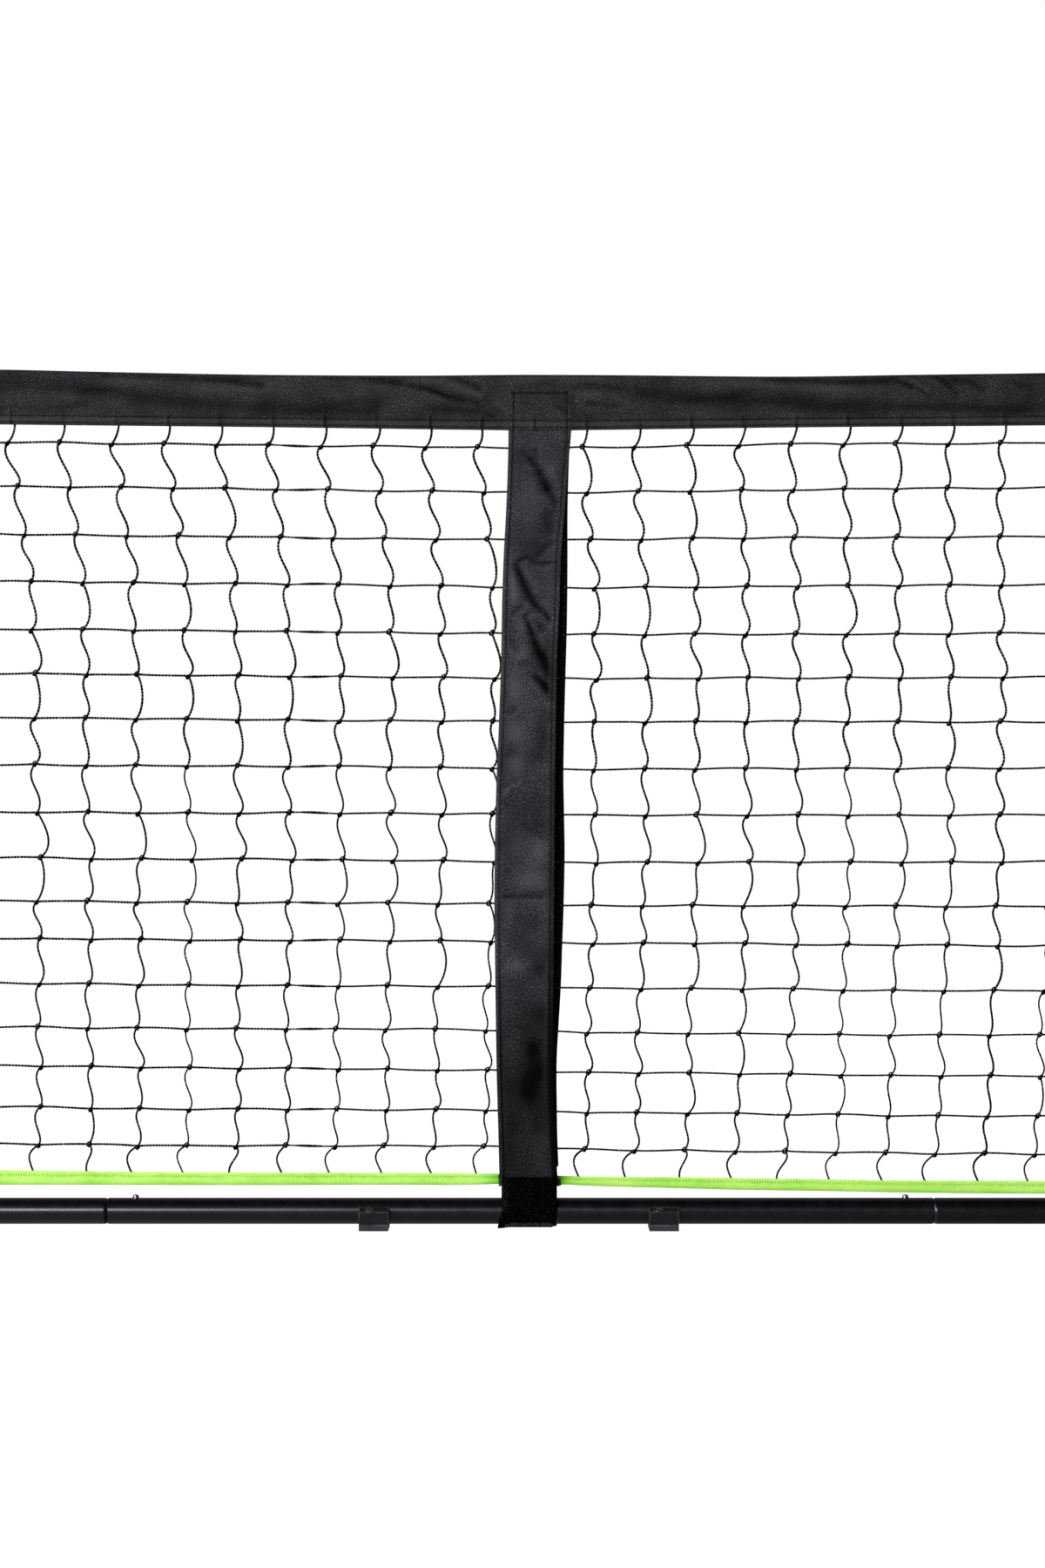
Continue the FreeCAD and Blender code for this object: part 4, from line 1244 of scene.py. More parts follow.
end = court["bandEnd"]
bandX = joined((-end, -0.57, 0.0140), (-0.57, -0.06, 0.0026), (-0.06, 0.09, 0.0018),
               (0.09, 0.57, 0.0026), (0.57, end, 0.0140))
bandX = [x for x in bandX if min(abs(x - side) for side in band["boxSides"]) > 0.0014]
bandX = sorted(bandX + [side + step for side in band["boxSides"]
                        for step in (-0.0012, -0.0006, 0.0, 0.0006, 0.0012)])
arcSteps = [straightRun + foldRun * i / 6 for i in range(1, 6)]
backHeights = [bandWidth - h for h in reversed(band["backHeights"])]
headband = addCloth("headband_cloth", bandX, band["heights"] + arcSteps + backHeights, bandPlace,
                    band["cloth"], headbandCloth, "headband_cloth", standsFor=("headband",))

stitch = {"length": 0.0029, "gap": 0.0010, "radius": 0.00034, "lift": 0.00012, "dive": 0.00035}


def sewAlong(path):
    return stitchLines(path, stitch["length"], stitch["gap"], stitch["lift"], stitch["dive"])


def bandStitches():
    lines = []
    low = bandBottom(0.02)
    left, right = band["boxSides"]
    heights = stations(low + 0.001, band["boxTop"], 0.003)
    for seed, sign in ((31.0, -1), (57.0, 1)):
        def onBand(x, height, z):
            return Vector((x, sign * bandHalf(x, height, z, seed)[0], z)), Vector((0, sign, 0))

        def onBox(x, z):
            return onBand(x, min(straightRun, z - low), z)

        for seam in band["seams"]:
            lines += sewAlong([onBand(x, seam, bandBottom(x) + seam) for x in bandX[1:-1]])
        lines += sewAlong([onBox(left, z) for z in heights])
        lines += sewAlong([onBox(right, z) for z in heights])
        lines += sewAlong([onBox(x, band["boxTop"]) for x in stations(left, right, 0.0018)])
    return lines


def threadPiece(name, lines, slotName):
    addPiece(name, cordMesh(name, lines, stitch["radius"], 4), threadBlack, slotName)


threadPiece("headband_stitches", bandStitches(), "headband_cloth")
print("headband ready")


# Rope inside the headband, with an eye round each pole

rope = {
    "radius": 0.002,
    "height": 0.9104,
    "eyeRing": 0.01585,
    "eyeTurns": 8,
    "strandRing": 0.00105,
    "strandRadius": 0.00118,
    "whipTurns": 5,
    "whipRing": 0.0028,
    "whipPitch": 0.0011,
    "whipRadius": 0.00055,
}
ropeEnd = court["poleX"] - rope["eyeRing"]
ropeX = [-ropeEnd, -2.6, -1.8, -1.0, -0.32, -0.2, 0.0, 0.2, 0.32, 1.0, 1.8, 2.6, ropeEnd]
ropePath = [Vector((x, 0, min(courtTop(x), bandTop(x)) - band["fold"])) for x in ropeX]
ropeMesh = cordMesh("headband_rope_line", [handled(ropePath)], rope["radius"], 8, 24, 2 * ropeEnd)
addPiece("headband_rope_line", ropeMesh, ropeWhite, "rope_white", standsFor=("headband_rope",))


def ropeEyes():
    # three strands laid round each pole, and the whipping that closes the eye
    strandLines = []
    whipLines = []
    points = 24 * rope["eyeTurns"]
    for side in (-1, 1):
        centre = Vector((side * court["poleX"], 0, rope["height"]))
        for strand in range(3):
            line = []
            for i in range(points + 1):
                ring = 2 * math.pi * i / points
                twist = ring * rope["eyeTurns"] + 2 * math.pi * strand / 3
                radius = rope["eyeRing"] + rope["strandRing"] * math.cos(twist)
                line.append(centre + Vector((radius * math.cos(ring), radius * math.sin(ring),
                                             rope["strandRing"] * math.sin(twist))))
            strandLines.append(line)
        throat = centre - Vector((side * (rope["eyeRing"] + 0.0015), 0, 0))
        coil = []
        for i in range(8 * rope["whipTurns"] + 1):
            angle = 2 * math.pi * i / 8
            coil.append(throat + Vector((-side * rope["whipPitch"] * i / 8,
                                         rope["whipRing"] * math.cos(angle),
                                         rope["whipRing"] * math.sin(angle))))
        whipLines.append(coil)
    for part, lines, radius, material in (
            ("eyes", strandLines, rope["strandRadius"], ropeWhite),
            ("whipping", whipLines, rope["whipRadius"], threadBlack)):
        name = "headband_rope_" + part
        addPiece(name, cordMesh(name, lines, radius, 6, 1, 0.1), material, "rope_white")


ropeEyes()
print("rope ready")


# Bottom binding: lime tape folded round the net's lowest cord

tape = {
    "half": 0.0019,
    "cloth": 0.0006,
    "fold": 0.0010,
    "needleLine": 0.0045,
    "needlePitch": 0.00265,
    "strapSides": ((-0.0209, 0.0010), (0.0364, 0.0016)),  # where the strap's edge shades it
    "tacks": ((-0.0204, 0.0545, 0.0434), (0.0382, 0.0512, 0.0434)),  # X, top, bottom
    "tacksEach": 8,
    "tackRadius": 0.00045,
}
tapeSide = court["bindingHeight"] - tape["fold"]
tapeWidth = 2 * tapeSide + math.pi * tape["fold"]


def limeMaterial():
    # the tape is fluorescent; its emission is a painted glow for that, the same under any light
    material, tree, shader = newMaterial("limeTape", (0.38, 0.79, 0.115), 0.62, {
        "Specular IOR Level": 0.2, "Emission Color": (0.38, 0.80, 0.10, 1),
        "Emission Strength": 0.13})
    uv = coordinates(tree, "UV")
    parts = addNode(tree, "SeparateXYZ")
    tree.links.new(uv, parts.inputs[0])
    fromTop = calc(tree, "SUBTRACT", tapeWidth, parts.outputs["Y"])
    fromTop = calc(tree, "MINIMUM", fromTop, parts.outputs["Y"])
    wander = calc(tree, "MULTIPLY", noiseOf(tree, uv, 40.0, 2.0, 0.5, stretch=(1.0, 0.0, 1.0)),
                  0.0030)
    wandering = calc(tree, "ADD", fromTop, calc(tree, "SUBTRACT", wander, 0.0015))
    # the tone across the tape's height is painted light and shade: lightest at the top edges,
    # darkest just above the lower fold
    paintedLightBands = ramp(tree, calc(tree, "MULTIPLY", wandering, 1 / tapeSide), [
        (0.00, (0.56, 0.83, 0.215)), (0.10, (0.465, 0.77, 0.135)), (0.22, (0.345, 0.675, 0.08)),
        (0.42, (0.425, 0.73, 0.10)), (0.68, (0.445, 0.745, 0.107)), (0.84, (0.30, 0.61, 0.053)),
        (0.95, (0.25, 0.54, 0.042)), (1.0, (0.385, 0.69, 0.083))])
    # painted shade of soft creases, in blotches placed at random
    blotches = noiseOf(tree, uv, 70.0, 3.0, 0.62)
    blotchShaded = blendColour(tree, ramp(tree, blotches, [(0.50, 0), (0.70, 0.8)]), paintedLightBands,
                          (0.26, 0.62, 0.06))
    broad = noiseOf(tree, uv, 16.0, 1.0, 0.5)
    blotchShaded = blendColour(tree, ramp(tree, broad, [(0.42, 0), (0.62, 0.35)]), blotchShaded,
                          (0.62, 0.92, 0.22))
    weave = noiseOf(tree, uv, 620.0, 2.0, 0.6)
    threads = ramp(tree, weave, [(0.36, 0), (0.64, 0.62)])
    grainy = blendColour(tree, threads, blotchShaded, (0.28, 0.60, 0.07))
    beat = calc(tree, "FRACT", calc(tree, "MULTIPLY", parts.outputs["X"], 1 / tape["needlePitch"]))
    acrossDot = calc(tree, "ABSOLUTE", calc(tree, "SUBTRACT", beat, 0.5))
    acrossDot = calc(tree, "MULTIPLY", acrossDot, tape["needlePitch"])
    downDot = calc(tree, "ABSOLUTE", calc(tree, "SUBTRACT", wandering, tape["needleLine"]))
    downDot = calc(tree, "MULTIPLY", downDot, 0.36)
    reach = calc(tree, "SQRT", calc(tree, "ADD", calc(tree, "POWER", acrossDot, 2.0),
                                    calc(tree, "POWER", downDot, 2.0)))
    dot = ramp(tree, calc(tree, "MULTIPLY", reach, 1000.0), [(0.26, 1), (0.58, 0)])
    present = ramp(tree, noiseOf(tree, uv, 150.0), [(0.45, 0.08), (0.66, 0.85)])
    pricked = blendColour(tree, calc(tree, "MULTIPLY", dot, present), grainy, (0.07, 0.24, 0.02))
    # painted shade where the tape is pinched beside the strap: deeper green, then nearly black at
    # the strap's edges
    dark = shadeParts(tree)[0]
    target = ramp(tree, dark, [(0.3, (0.23, 0.60, 0.045)), (0.62, (0.13, 0.46, 0.025)),
                               (0.95, (0.004, 0.05, 0.002))])
    reachDark = calc(tree, "MINIMUM", calc(tree, "MULTIPLY", dark, 1.7), 1.0)
    shaded = blendColour(tree, reachDark, pricked, target)
    tree.links.new(shaded, shader.inputs["Base Color"])
    tree.links.new(shaded, shader.inputs["Emission Color"])
    height = calc(tree, "SUBTRACT", calc(tree, "MULTIPLY", weave, 0.5), dot)
    height = calc(tree, "SUBTRACT", height, blotches)
    bumpOf(tree, shader, height, 0.00035)
    return material


limeTape = limeMaterial()
limeTape.cycles.emission_sampling = "NONE"


def tapePlace(x, across):
    top = tapeTop(x)
    bottom = tapeBottom(x)
    pinch = max(ease(-0.050, -0.0215, x) * (1 - ease(0.0, 0.01, x)),
                (1 - ease(0.038, 0.066, x)) * ease(0.0, 0.01, x))
    # painted shade where the tape is pinched beside the strap, and under the strap's edges
    shade = 0.56 * pinch ** 1.3
    shade += 0.7 * sum(bell(x, edge, soft) for edge, soft in tape["strapSides"])
    if abs(x) < 0.6:
        column, away = columnNear(x, netSway(x, 1.0))
        # painted shade of the creases at the lower fold below each net column
        columnCreaseShade = 0.5 + 0.5 * ripple(column * 3.7, 2.0, 5.0)
        low = ease(0.45, 0.95, 1 - abs(across - tapeWidth / 2) / (tapeWidth / 2))
        shade += 0.45 * columnCreaseShade * low * bell(away, 0, 0.005)
    shade = min(1.0, shade)
    fold = tape["fold"]
    rise = top - bottom - fold
    if across <= tapeSide or across >= tapeWidth - tapeSide:
        back = across <= tapeSide
        height = tapeSide - across if back else across - (tapeWidth - tapeSide)
        z = bottom + fold + rise * height / tapeSide
        body = math.sin(math.pi * min(1.0, height / tapeSide))
        half = tape["half"] + 0.0005 * body * ripple(x * 30, height * 90, 71.0 if back else 77.0)
        half += 0.0006 * pinch * math.sin(height / tapeSide * 3 * math.pi)
        return Vector((x, half if back else -half, z)), shade
    angle = (across - tapeSide) / fold
    y = tape["half"] * math.cos(angle)
    return Vector((x, y, bottom + fold - fold * math.sin(angle))), shade


tapeX = joined((-end, -0.56, 0.012), (-0.56, -0.05, 0.003), (-0.05, 0.07, 0.001),
               (0.07, 0.56, 0.003), (0.56, end, 0.012))
tapeRows = joined((0, tapeSide, 0.0016), (tapeSide, tapeWidth - tapeSide, 0.0008),
                  (tapeWidth - tapeSide, tapeWidth, 0.0016))
binding = addCloth("bottom_binding_tape", tapeX, tapeRows, tapePlace, tape["cloth"], limeTape,
                   "binding_lime", standsFor=("bottom_binding",))
binding.visible_glossy = False  # keeps its green off the tube's gloss


def tackLines():
    # short green threads that tack the tape at each side of the strap; their near-black green also
    # paints the shade of the tape bunched there
    lines = []
    for x, top, bottom in tape["tacks"]:
        for i in range(tape["tacksEach"]):
            across = x + 0.0005 * (i - 3.5) + 0.0006 * math.sin(i * 2.3)
            start = top - 0.0006 * (i % 3)
            lines.append([Vector(point) for point in (
                (across, -0.0014, start), (across, -0.0029, start - 0.0008),
                (across + 0.0006, -0.0029, bottom + 0.0008), (across, -0.0014, bottom))])
    return lines


threadGreen = threadMaterial("threadGreen", (0.012, 0.10, 0.008))
tackMesh = cordMesh("bottom_binding_tacks", tackLines(), tape["tackRadius"], 6)
addPiece("bottom_binding_tacks", tackMesh, threadGreen, "binding_lime")
print("binding ready")


# Centre strap: front panel, back panel and their hems

panelWidth = 0.0600


def panelPlace(side):
    sign = -1 if side == "front" else 1

    def place(u, z):
        left = glide(strap[side + "LeftEdge"], z)
        right = glide(strap[side + "RightEdge"], z)
        share = u / panelWidth
        if side == "back":
            share = 1 - share
        x = left + (right - left) * share
        inward = min(x - left, right - x)
        hem = bell(inward, strap["hem"], 0.0008)
        out = strapFace(side, z) - strap["seamDip"] * hem
        # painted shade in the groove of the seam beside each hem
        shade = 0.8 * hem
        if inward < strap["hem"] - 0.0006:
            # painted shade on the right hem, more of it lower down; painted light on the left hem
            if x > 0.5 * (left + right):
                shade += 0.04 + 0.40 * (1 - ease(0.35, 0.60, z))
            else:
                shade -= 0.20
            out += 0.00025
        middle = ease(strap["hem"], 0.012, inward)
        free = ease(bandBottom(0.02), bandBottom(0.02) - 0.03, z)
        if side == "front":
            depth, dark = foldsAt(x, z, strap["creases"], strap["patches"], 0.22)
            out -= depth * middle
            shade += dark * (0.25 + 0.75 * middle)
            # painted shade towards the strap's foot; a little darker above z 0.66
            shade += 0.64 * (1 - ease(0.12, 0.33, z)) + 0.10 * ease(0.66, 0.74, z)
        wave = ripple(x * 26, z * 13, 5.0 + sign) + 0.5 * ripple(x * 60, z * 36, 9.0 + sign)
        # painted sheen and shade in broad mottles over the middle of the panel
        shade -= 0.26 * middle * wave
        hang = ease(0.0, 0.03, z - strap["frontBottom"])
        under = 1 - ease(bandBottom(0.02) - 0.03, bandBottom(0.02) - 0.004, z)
        out += 0.0009 * wave * middle * hang * under * (0.3 + 0.7 * free)
        return Vector((x, sign * out, z)), max(-1.0, min(1.0, shade))

    return place


def strapPanel(side, steps, material):
    bottom = strap[side + "Bottom"]
    across = strap["hemRows"] + stations(0.0085, panelWidth - 0.0085, 0.0016)
    across += [panelWidth - h for h in reversed(strap["hemRows"])]
    piece = addCloth("strap_" + side + "_panel", across,
                     joined((bottom, 0.5, 0.0040), (0.5, strap["top"], steps)), panelPlace(side),
                     strap["thickness"], material, "strap_webbing",
                     standsFor=("strap_" + side,))


strapPanel("front", 0.0021, strapCloth)
strapPanel("back", 0.004, backPile)


def strapStitches():
    lines = []
    for side, sign in (("front", -1), ("back", 1)):
        out = Vector((0, sign, 0))
        bottom = strap[side + "Bottom"]
        left, right = strap[side + "LeftEdge"], strap[side + "RightEdge"]
        heights = stations(bottom + 0.003, bandBottom(0.02) - 0.001, 0.004)
        for edge, inward in ((left, 1), (right, -1)):
            lines += sewAlong([
                (Vector((glide(edge, z) + inward * strap["hem"],
                         sign * (strapFace(side, z) - strap["seamDip"]), z)), out)
                for z in heights])
        low = bottom + strap["lowSeam"]
        lines += sewAlong([
            (Vector((x, sign * strapFace(side, low), low)), out)
            for x in stations(glide(left, bottom) + 0.004, glide(right, bottom) - 0.004, 0.004)])
    return lines


threadPiece("strap_stitches", strapStitches(), "strap_webbing")


# Loop tape round the tube, its free tail, and the hook patch it closes on

wrap = {
    "left": -0.0192,
    "right": 0.0368,
    "inner": 0.0136,
    "thickness": 0.0016,
    "frontTop": 0.0684,
    "backTop": 0.0269,
    "lowest": 0.0009,
}
wrap["outer"] = wrap["inner"] + wrap["thickness"]
wrapWidth = wrap["right"] - wrap["left"]
wrapBack = wrap["backTop"] - court["tubeAxis"]
wrapUnder = math.pi * wrap["outer"]
wrapFront = wrap["frontTop"] - court["tubeAxis"]
wrapLength = wrapBack + wrapUnder + wrapFront


def wrapPlace(u, v):
    # v runs down the back, under the tube and up the front
    x = wrap["left"] + u
    radius = wrap["outer"]
    share = u / wrapWidth
    if v < wrapBack:
        return Vector((x, radius, wrap["backTop"] - v)), 0.0
    fuzz = 0.00025 * ripple(x * 210, v * 210, 2.0)
    if v < wrapBack + wrapUnder:
        angle = (v - wrapBack) / radius
        front = ease(0.5 * math.pi, math.pi, angle)
        square = bell(angle, 0.60 * math.pi, 0.42)
        square = 1.0 + 0.105 * square * (1 - ease(0.88, 0.99, share))
        y = radius * math.cos(angle) * (1 + 0.02 * front)
        z = court["tubeAxis"] - radius * math.sin(angle) * square
        shade = -0.9 * bell(angle, 0.72 * math.pi, 0.07) * ease(0.06, 0.2, min(share, 1 - share))
        tip = bell(angle, 0.70 * math.pi, 0.45) * (1 - ease(0.0, 0.20, share))
        x -= 0.0038 * tip
        z = max(wrap["lowest"], z - 0.0034 * tip ** 1.6)
        x -= 0.0022 * bell(angle, 0.70 * math.pi, 0.35) * ease(0.90, 1.0, share)
        return Vector((x, y - fuzz, z)), shade
    height = v - wrapBack - wrapUnder
    shade = -0.30 * (1 - ease(0.04, 0.16, share)) * (1 - ease(0.02, 0.05, height))
    y = -radius * 1.02 + 0.0003 * ease(0.02, 0.045, height)
    return Vector((x, y - fuzz, court["tubeAxis"] + height)), shade


loopWrap = addCloth("strap_loop_wrap", stations(0, wrapWidth, 0.0012),
                    stations(0, wrapLength, 0.0013), wrapPlace, wrap["thickness"], loopPile,
                    "loop_tape", standsFor=("strap_wrap",))

fuzz = {"count": 260, "radius": 0.00010, "length": (0.0006, 0.0016)}
fuzzRandom = random.Random(7)


def fuzzLines():
    # loose loops that catch the light along the fold under the tube
    lines = []
    for _ in range(fuzz["count"]):
        share = fuzzRandom.uniform(0.10, 0.94)
        angle = math.pi * fuzzRandom.gauss(0.70, 0.020)
        root, _ = wrapPlace(share * wrapWidth, wrapBack + angle * wrap["outer"])
        length = fuzzRandom.uniform(*fuzz["length"])
        lean = fuzzRandom.uniform(-0.9, 0.9)
        away = Vector((math.sin(lean), -0.5, fuzzRandom.uniform(-0.5, 0.7))).normalized()
        curl = Vector((fuzzRandom.uniform(-1, 1), -0.1, fuzzRandom.uniform(-1, 1))) * length * 0.5
        lines.append([root + Vector((0, 0.0003, 0)), root + away * length * 0.6,
                      root + away * length * 0.8 + curl])
    return lines


fuzzFibre = threadMaterial("fuzzFibre", (0.17, 0.167, 0.175))
fuzzMesh = cordMesh("strap_loop_fuzz", fuzzLines(), fuzz["radius"], 4)
addPiece("strap_loop_fuzz", fuzzMesh, fuzzFibre, "loop_tape")

tail = {"low": 0.0280, "length": 0.0800}


def tailPlace(u, v):
    fuzz = 0.0002 * ripple(u * 210, v * 210, 8.0)
    corner = 0.0012 * max(0.0, 1 - min(u, wrapWidth - u) / 0.006) * ease(0.072, 0.080, v)
    return Vector((wrap["right"] - u, wrap["outer"] + fuzz, tail["low"] + v - corner)), 0.0


tailLeaf = addCloth("strap_tail_leaf", stations(0, wrapWidth, 0.0014),
                    stations(0, tail["length"], 0.0014), tailPlace, wrap["thickness"], loopPile,
                    "loop_tape", "strap_tail", ("strap_tail",))

patchLow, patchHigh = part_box("strap_hook_patch")
patchWidth = patchHigh.x - patchLow.x
patchLength = patchHigh.z - patchLow.z
patchLean = (patchHigh.y - patchLow.y) - strap["thickness"]


def patchPlace(u, v):
    y = patchHigh.y - 0.00001 - patchLean * v / patchLength
    return Vector((patchHigh.x - u, y, patchLow.z + v)), 0.0


patchLeaf = addCloth("strap_hook_patch_leaf", stations(0, patchWidth, 0.0014),
                     stations(0, patchLength, 0.0014), patchPlace, strap["thickness"], hookPile,
                     "hook_tape", standsFor=("strap_hook_patch",))
print("strap ready")


# Side sleeves over the poles, with the hem that takes the net's edge

sleeve = {
    "bottom": 0.037,
    "top": 0.902,
    "radius": 0.01465,
    "cloth": 0.0008,
    "hemHalf": 0.0021,
    "seams": (0.0030, 0.0110),
    "seamDip": 0.00035,
    "endSeam": 0.006,
}
hemReach = court["poleX"] - court["hemEnd"]
tangent = math.asin(sleeve["hemHalf"] / sleeve["radius"])
roundRun = (2 * math.pi - 2 * tangent) * sleeve["radius"]
flatRun = hemReach - sleeve["radius"] * math.cos(tangent)
sleeveRun = 2 * flatRun + roundRun


def sleevePlace(side):
    def place(u, z):
        s = u if side > 0 else sleeveRun - u
        bulge = 0.0006 * ripple(u * 60, z * 9, 3.0 * side) + 0.0004 * ripple(u * 25, z * 40, 7.0)
        bulge = max(-0.0003, bulge)
        shade = 0.0
        if s < flatRun or s > sleeveRun - flatRun:
            front = s < flatRun
            along = s if front else sleeveRun - s
            x = -hemReach + along
            sewn = 1 - ease(0.012, flatRun, along)
            half = sleeve["hemHalf"] + 0.0005 * (1 - sewn) + max(0.0, bulge) * 0.5
            for seam in sleeve["seams"]:
                close = bell(along, seam, 0.0009)
                half -= sleeve["seamDip"] * close
                # painted shade in the sewn groove
                shade += 0.7 * close
            y = -half if front else half
        else:
            angle = math.pi + tangent + (s - flatRun) / sleeve["radius"]
            radius = sleeve["radius"] + bulge
            x = radius * math.cos(angle)
            y = radius * math.sin(angle)
        # painted shade along the hem seams at both ends
        for hem in (sleeve["bottom"] + sleeve["endSeam"], sleeve["top"] - sleeve["endSeam"]):
            shade += 0.6 * bell(z, hem, 0.0011)
        return Vector((side * (court["poleX"] + x), y, z)), min(1.0, shade)

    return place


sleeveAcross = joined((0, flatRun, 0.0022), (flatRun, sleeveRun - flatRun, 0.0031),
                      (sleeveRun - flatRun, sleeveRun, 0.0022))
sleeveHeights = ([sleeve["bottom"], 0.0400, 0.0418, 0.0430, 0.0442, 0.0460]
                 + stations(0.052, 0.888, 0.0085)
                 + [0.8925, 0.8948, 0.8960, 0.8972, 0.8995, sleeve["top"]])
for side, sideName in ((-1, "left"), (1, "right")):
    across = sleeveAcross if side > 0 else [sleeveRun - u for u in reversed(sleeveAcross)]
    piece = addCloth("side_sleeve_cloth_" + sideName, across, sleeveHeights, sleevePlace(side),
                     sleeve["cloth"], sleeveCloth, "headband_cloth",
                     standsFor=("side_sleeve_" + sideName,))
    lines = []
    for sign in (-1, 1):
        for seam in sleeve["seams"]:
            x = side * (court["hemEnd"] + seam)
            y = sign * (sleeve["hemHalf"] - 0.0002)
            lines += sewAlong([(Vector((x, y, z)), Vector((0, sign, 0)))
                               for z in stations(0.043, 0.896, 0.02)])
    threadPiece("side_sleeve_stitches_" + sideName, lines, "headband_cloth")


# Corner ties: webbing from the sleeve hems round the hub stubs

tie = {
    "width": 0.019,
    "thickness": 0.0015,
    "top": 0.086,
    "sewnBottom": 0.062,
    "seamX": (-0.0065, 0.0065),
    "seamZ": (0.066, 0.083),
}
tie["outer"] = court["tubeRadius"] + 0.00035 + tie["thickness"]
tie["topHalf"] = sleeve["hemHalf"] + 0.00015 + tie["thickness"]
tieMiddle = court["hemEnd"] + 0.0125
tubeTop = court["tubeAxis"] + court["tubeRadius"]
tieRoute = [
    (tie["topHalf"], tie["top"]), (tie["topHalf"], tie["sewnBottom"]),
    (tie["outer"], tubeTop), (tie["outer"], court["tubeAxis"]),
]
tieRuns = [0.0]
for (ya, za), (yb, zb) in zip(tieRoute, tieRoute[1:]):
    tieRuns.append(tieRuns[-1] + math.hypot(yb - ya, zb - za))
tieUnder = math.pi * tie["outer"]
tieLength = 2 * tieRuns[-1] + tieUnder


def tiePlace(side):
    def place(u, v):
        x = side * tieMiddle - tie["width"] / 2 + u
        s = v
        sign = 1
        if v > tieRuns[-1] + tieUnder:
            s = tieLength - v
            sign = -1
        elif v > tieRuns[-1]:
            angle = (v - tieRuns[-1]) / tie["outer"]
            y = tie["outer"] * math.cos(angle)
            return Vector((x, y, court["tubeAxis"] - tie["outer"] * math.sin(angle))), 0.0
        i = 0
        while i < len(tieRuns) - 2 and tieRuns[i + 1] < s:
            i += 1
        t = (s - tieRuns[i]) / (tieRuns[i + 1] - tieRuns[i])
        (ya, za), (yb, zb) = tieRoute[i], tieRoute[i + 1]
        shade = -0.4 if min(u, tie["width"] - u) < 0.0012 else 0.0
        return Vector((x, sign * (ya + (yb - ya) * t), za + (zb - za) * t)), shade

    return place


backRuns = [tieLength - r for r in reversed(tieRuns)]
tieRows = joined(*[(a, b, 0.004) for a, b in zip(tieRuns, tieRuns[1:])],
                 (tieRuns[-1], tieRuns[-1] + tieUnder, 0.003),
                 *[(a, b, 0.004) for a, b in zip(backRuns, backRuns[1:])])
for side, sideName in ((-1, "left"), (1, "right")):
    piece = addCloth("corner_tie_webbing_" + sideName, stations(0, tie["width"], 0.0014), tieRows,
                     tiePlace(side), tie["thickness"], tieWebbing, "tie_webbing",
                     standsFor=("corner_tie_" + sideName,))
    lines = []
    x0, x1 = [side * tieMiddle + x for x in tie["seamX"]]
    z0, z1 = tie["seamZ"]
    corners = [(x0, z0), (x1, z0), (x1, z1), (x0, z1), (x0, z0), (x1, z1), (x0, z1), (x1, z0)]
    for sign in (-1, 1):
        out = Vector((0, sign, 0))
        for a, b in zip(corners, corners[1:]):
            lines += sewAlong([(Vector((x, sign * tie["topHalf"], z)), out) for x, z in (a, b)])
    threadPiece("corner_tie_stitches_" + sideName, lines, "tie_webbing")
print("sleeves and ties ready")


# Weld beads on the end hubs

weld = {"bead": 0.0017, "crossRadius": 0.01425, "ripple": 0.00035, "beads": 34, "lift": 0.0004}


def weldLines():
    # round the stub and round the socket, where they meet the cross tube
    lines = []
    axis = court["tubeAxis"]
    for side in (-1, 1):
        stub = []
        socket = []
        for i in range(97):
            angle = 2 * math.pi * i / 96
            radius = court["tubeRadius"] + weld["ripple"] * math.sin(angle * weld["beads"])
            a = radius * math.cos(angle)
            b = radius * math.sin(angle)
            reach = math.sqrt(max(0.0, weld["crossRadius"] ** 2 - b ** 2)) + weld["lift"]
            rise = math.sqrt(max(0.0, weld["crossRadius"] ** 2 - a ** 2)) + weld["lift"]
            stub.append(Vector((side * (court["poleX"] - reach), a, axis + b)))
            socket.append(Vector((side * court["poleX"] + a, b, axis + rise)))
        lines += [stub, socket]
    return lines


weldMesh = cordMesh("hub_welds", weldLines(), weld["bead"], 8)
addPiece("hub_welds", weldMesh, coatBlack, "tube_black")


# V springs of steel strip behind the buttons, which bend as a button is pressed; here each is
# built at rest

spring = {
    "reach": 0.037,
    "pad": 0.005,
    "width": 0.008,
    "strip": 0.0008,
    "top": 0.00846,  # above the tube's axis
    "foot": -0.00982,
    "bendInside": 0.0032,
    "sections": 10,
}


def springStrip(name, place, heading):
    top = Vector((-spring["pad"], spring["top"]))
    bend = Vector((-spring["reach"], 0))
    inside = bend + Vector((spring["bendInside"], 0))
    under = top - Vector((0, spring["strip"]))
    sections = [(Vector((spring["pad"], top.y)), Vector((spring["pad"], under.y)))]
    for i in range(spring["sections"] + 1):
        share = i / spring["sections"]
        sections.append((top.lerp(bend, share), under.lerp(inside, share)))
    foot = Vector((spring["pad"], spring["foot"]))
    sections.append((foot, foot + Vector((0, spring["strip"]))))
    shape = bmesh.new()
    half = spring["width"] / 2
    rows = [[shape.verts.new((p.x, -half, p.y)) for p in pair] for pair in sections]
    for a, b in zip(rows, rows[1:]):
        shape.faces.new((a[0], a[1], b[1], b[0]))
    grown = bmesh.ops.extrude_face_region(shape, geom=shape.faces[:])["geom"]
    grown = [v for v in grown if isinstance(v, bmesh.types.BMVert)]
    bmesh.ops.translate(shape, vec=(0, spring["width"], 0), verts=grown)
    bmesh.ops.recalc_face_normals(shape, faces=shape.faces[:])
    turn = Matrix.Translation(place) @ Matrix.Rotation(heading, 4, "Z")
    bmesh.ops.transform(shape, matrix=turn, verts=shape.verts[:])
    return meshOf(name, shape)


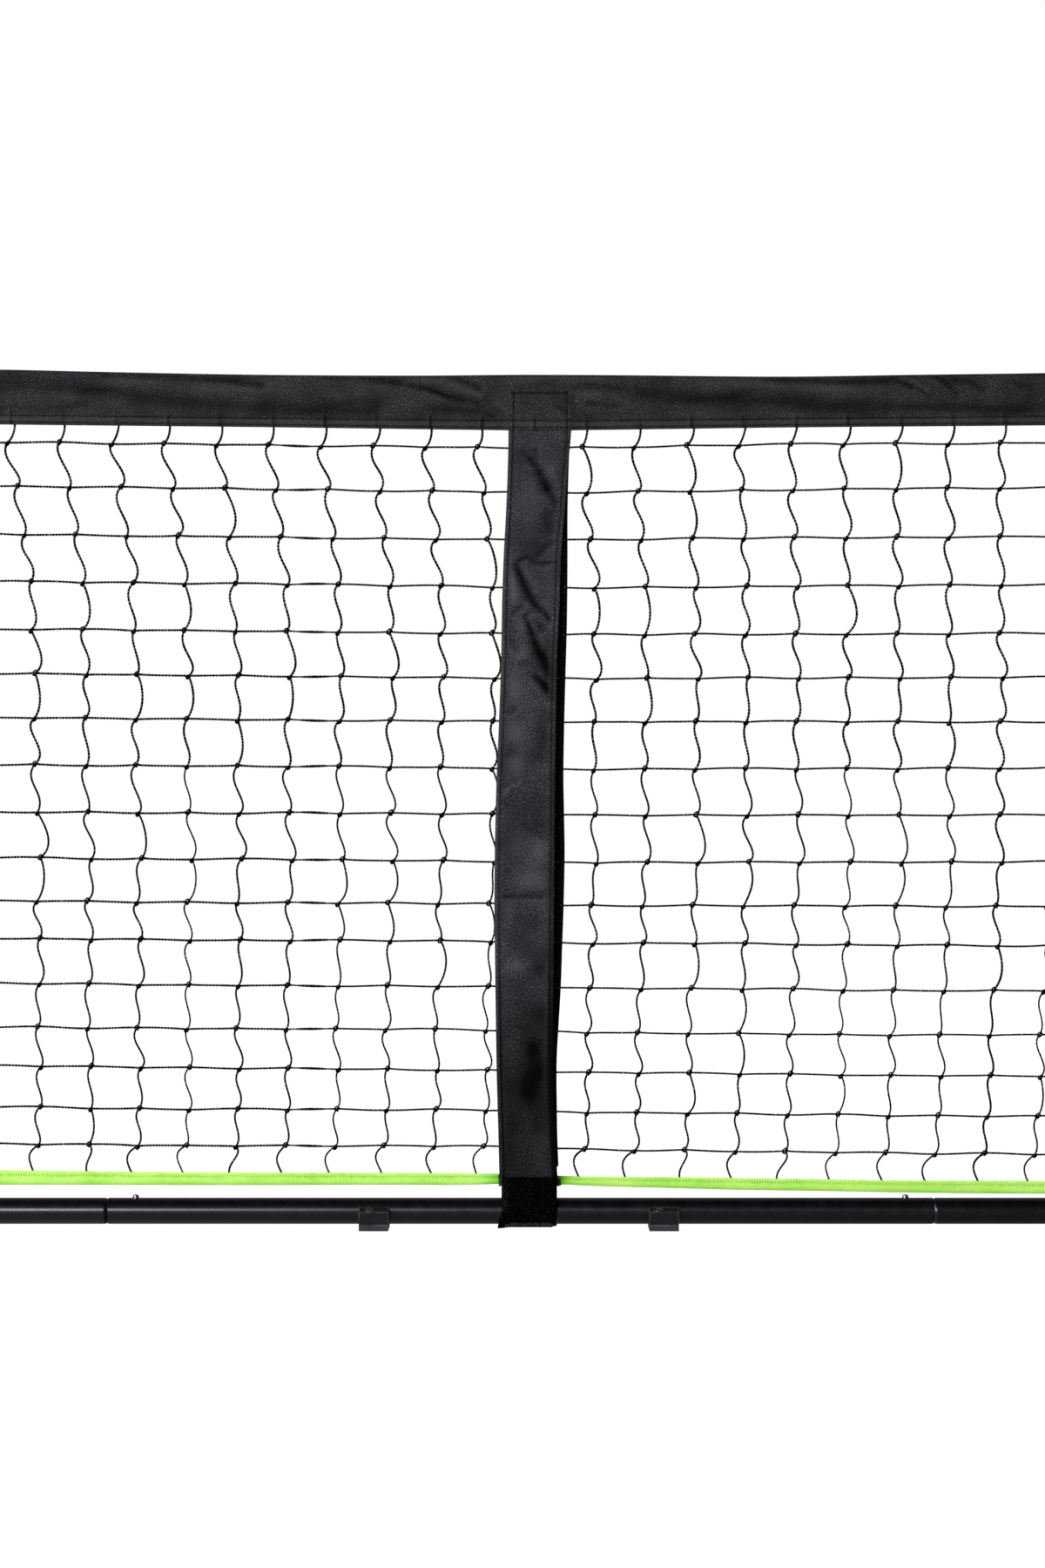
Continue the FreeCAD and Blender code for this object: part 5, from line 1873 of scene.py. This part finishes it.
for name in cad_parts:
    if not name.startswith("button_") or name == "button_springs":
        continue
    low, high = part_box(name)
    place = Vector(((low.x + high.x) / 2, (low.y + high.y) / 2, court["tubeAxis"]))
    along = abs(place.y) < 0.01
    ahead = place.x > 0 if along else place.y > 0
    heading = (math.pi if ahead else 0.0) if along else (-0.5 if ahead else 0.5) * math.pi
    mesh = springStrip(name + "_spring", place, heading)
    strip = addPiece(name + "_spring", mesh, springSteel, "spring_steel", None,
                     ("button_springs",))
    mesh.polygons.foreach_set("use_smooth", [False] * len(mesh.polygons))
    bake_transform(strip)


# Screws in the clip-on feet

screw = {
    "headRadius": 0.0035,
    "headHeight": 0.0022,
    "seat": 0.0194,
    "shankRadius": 0.00175,
    "tip": 0.0015,
    "slot": (0.0042, 0.0007, 0.0003),
    "slotTurns": (0.4, 0.4 + math.pi / 2),
    "footX": (-0.1480, 0.1446),
    "y": 0.0205,
    "offsets": (-0.0049, -0.0062),
}


def screwShape(shape, place):
    head = bmesh.ops.create_uvsphere(shape, u_segments=20, v_segments=10,
                                     radius=screw["headRadius"])["verts"]
    low = [v for v in head if v.co.z < -1e-6]
    bmesh.ops.delete(shape, geom=low, context="VERTS")
    head = [v for v in head if v.is_valid]
    bmesh.ops.scale(shape, vec=(1, 1, screw["headHeight"] / screw["headRadius"]), verts=head)
    rim = [e for e in shape.edges if e.is_boundary and all(v in head for v in e.verts)]
    bmesh.ops.contextual_create(shape, geom=rim)
    shank = bmesh.ops.create_cone(shape, cap_ends=True, segments=16,
                                  radius1=screw["shankRadius"] * 0.4,
                                  radius2=screw["shankRadius"],
                                  depth=screw["seat"] - screw["tip"])["verts"]
    bmesh.ops.translate(shape, vec=(0, 0, (screw["tip"] - screw["seat"]) / 2), verts=shank)
    slots = []
    for turn in screw["slotTurns"]:
        slot = bmesh.ops.create_cube(shape, size=1.0)["verts"]
        bmesh.ops.scale(shape, vec=screw["slot"], verts=slot)
        bmesh.ops.rotate(shape, cent=(0, 0, 0), matrix=Matrix.Rotation(turn, 3, "Z"), verts=slot)
        bmesh.ops.translate(shape, vec=(0, 0, screw["headHeight"] * 0.93), verts=slot)
        slots += [f for v in slot for f in v.link_faces]
    for face in set(slots):
        face.material_index = 1
    made = head + shank + list({v for f in slots for v in f.verts})
    bmesh.ops.translate(shape, vec=place, verts=made)


screws = bmesh.new()
for footX, offset in zip(screw["footX"], screw["offsets"]):
    for facing in (-1, 1):
        x = footX - facing * offset
        screwShape(screws, Vector((x, facing * screw["y"], screw["seat"])))
mesh = meshOf("centre_foot_screws_set", screws)
slotIndex = [p.material_index for p in mesh.polygons]
addPiece("centre_foot_screws_set", mesh, screwSteel, "screw_steel",
         standsFor=("centre_foot_screws",))
# the slots take the near-black thread finish: painted shade for the slot's recess
mesh.materials.append(threadBlack)
mesh.polygons.foreach_set("material_index", slotIndex)
mesh.polygons.foreach_set("use_smooth", [i == 0 for i in slotIndex])


# Finishes of the solids that keep their CAD shape

finishes = [
    ("centre_tube", coatBlack), ("side_tube", coatBlack), ("hub", coatBlack),
    ("foot_tube", coatBlack), ("pole_cap", capPlastic), ("pole", coatUpright),
    ("button", nickel), ("centre_foot_pad", footRubber),
    ("centre_foot", footPlastic), ("foot_cap", footRubber),
]
for name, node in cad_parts.items():
    material = next((m for start, m in finishes if name.startswith(start)), None)
    if material is None or not len(node.material_slots):
        continue
    for materialSlot in node.material_slots:
        materialSlot.material = material
print("solids finished")
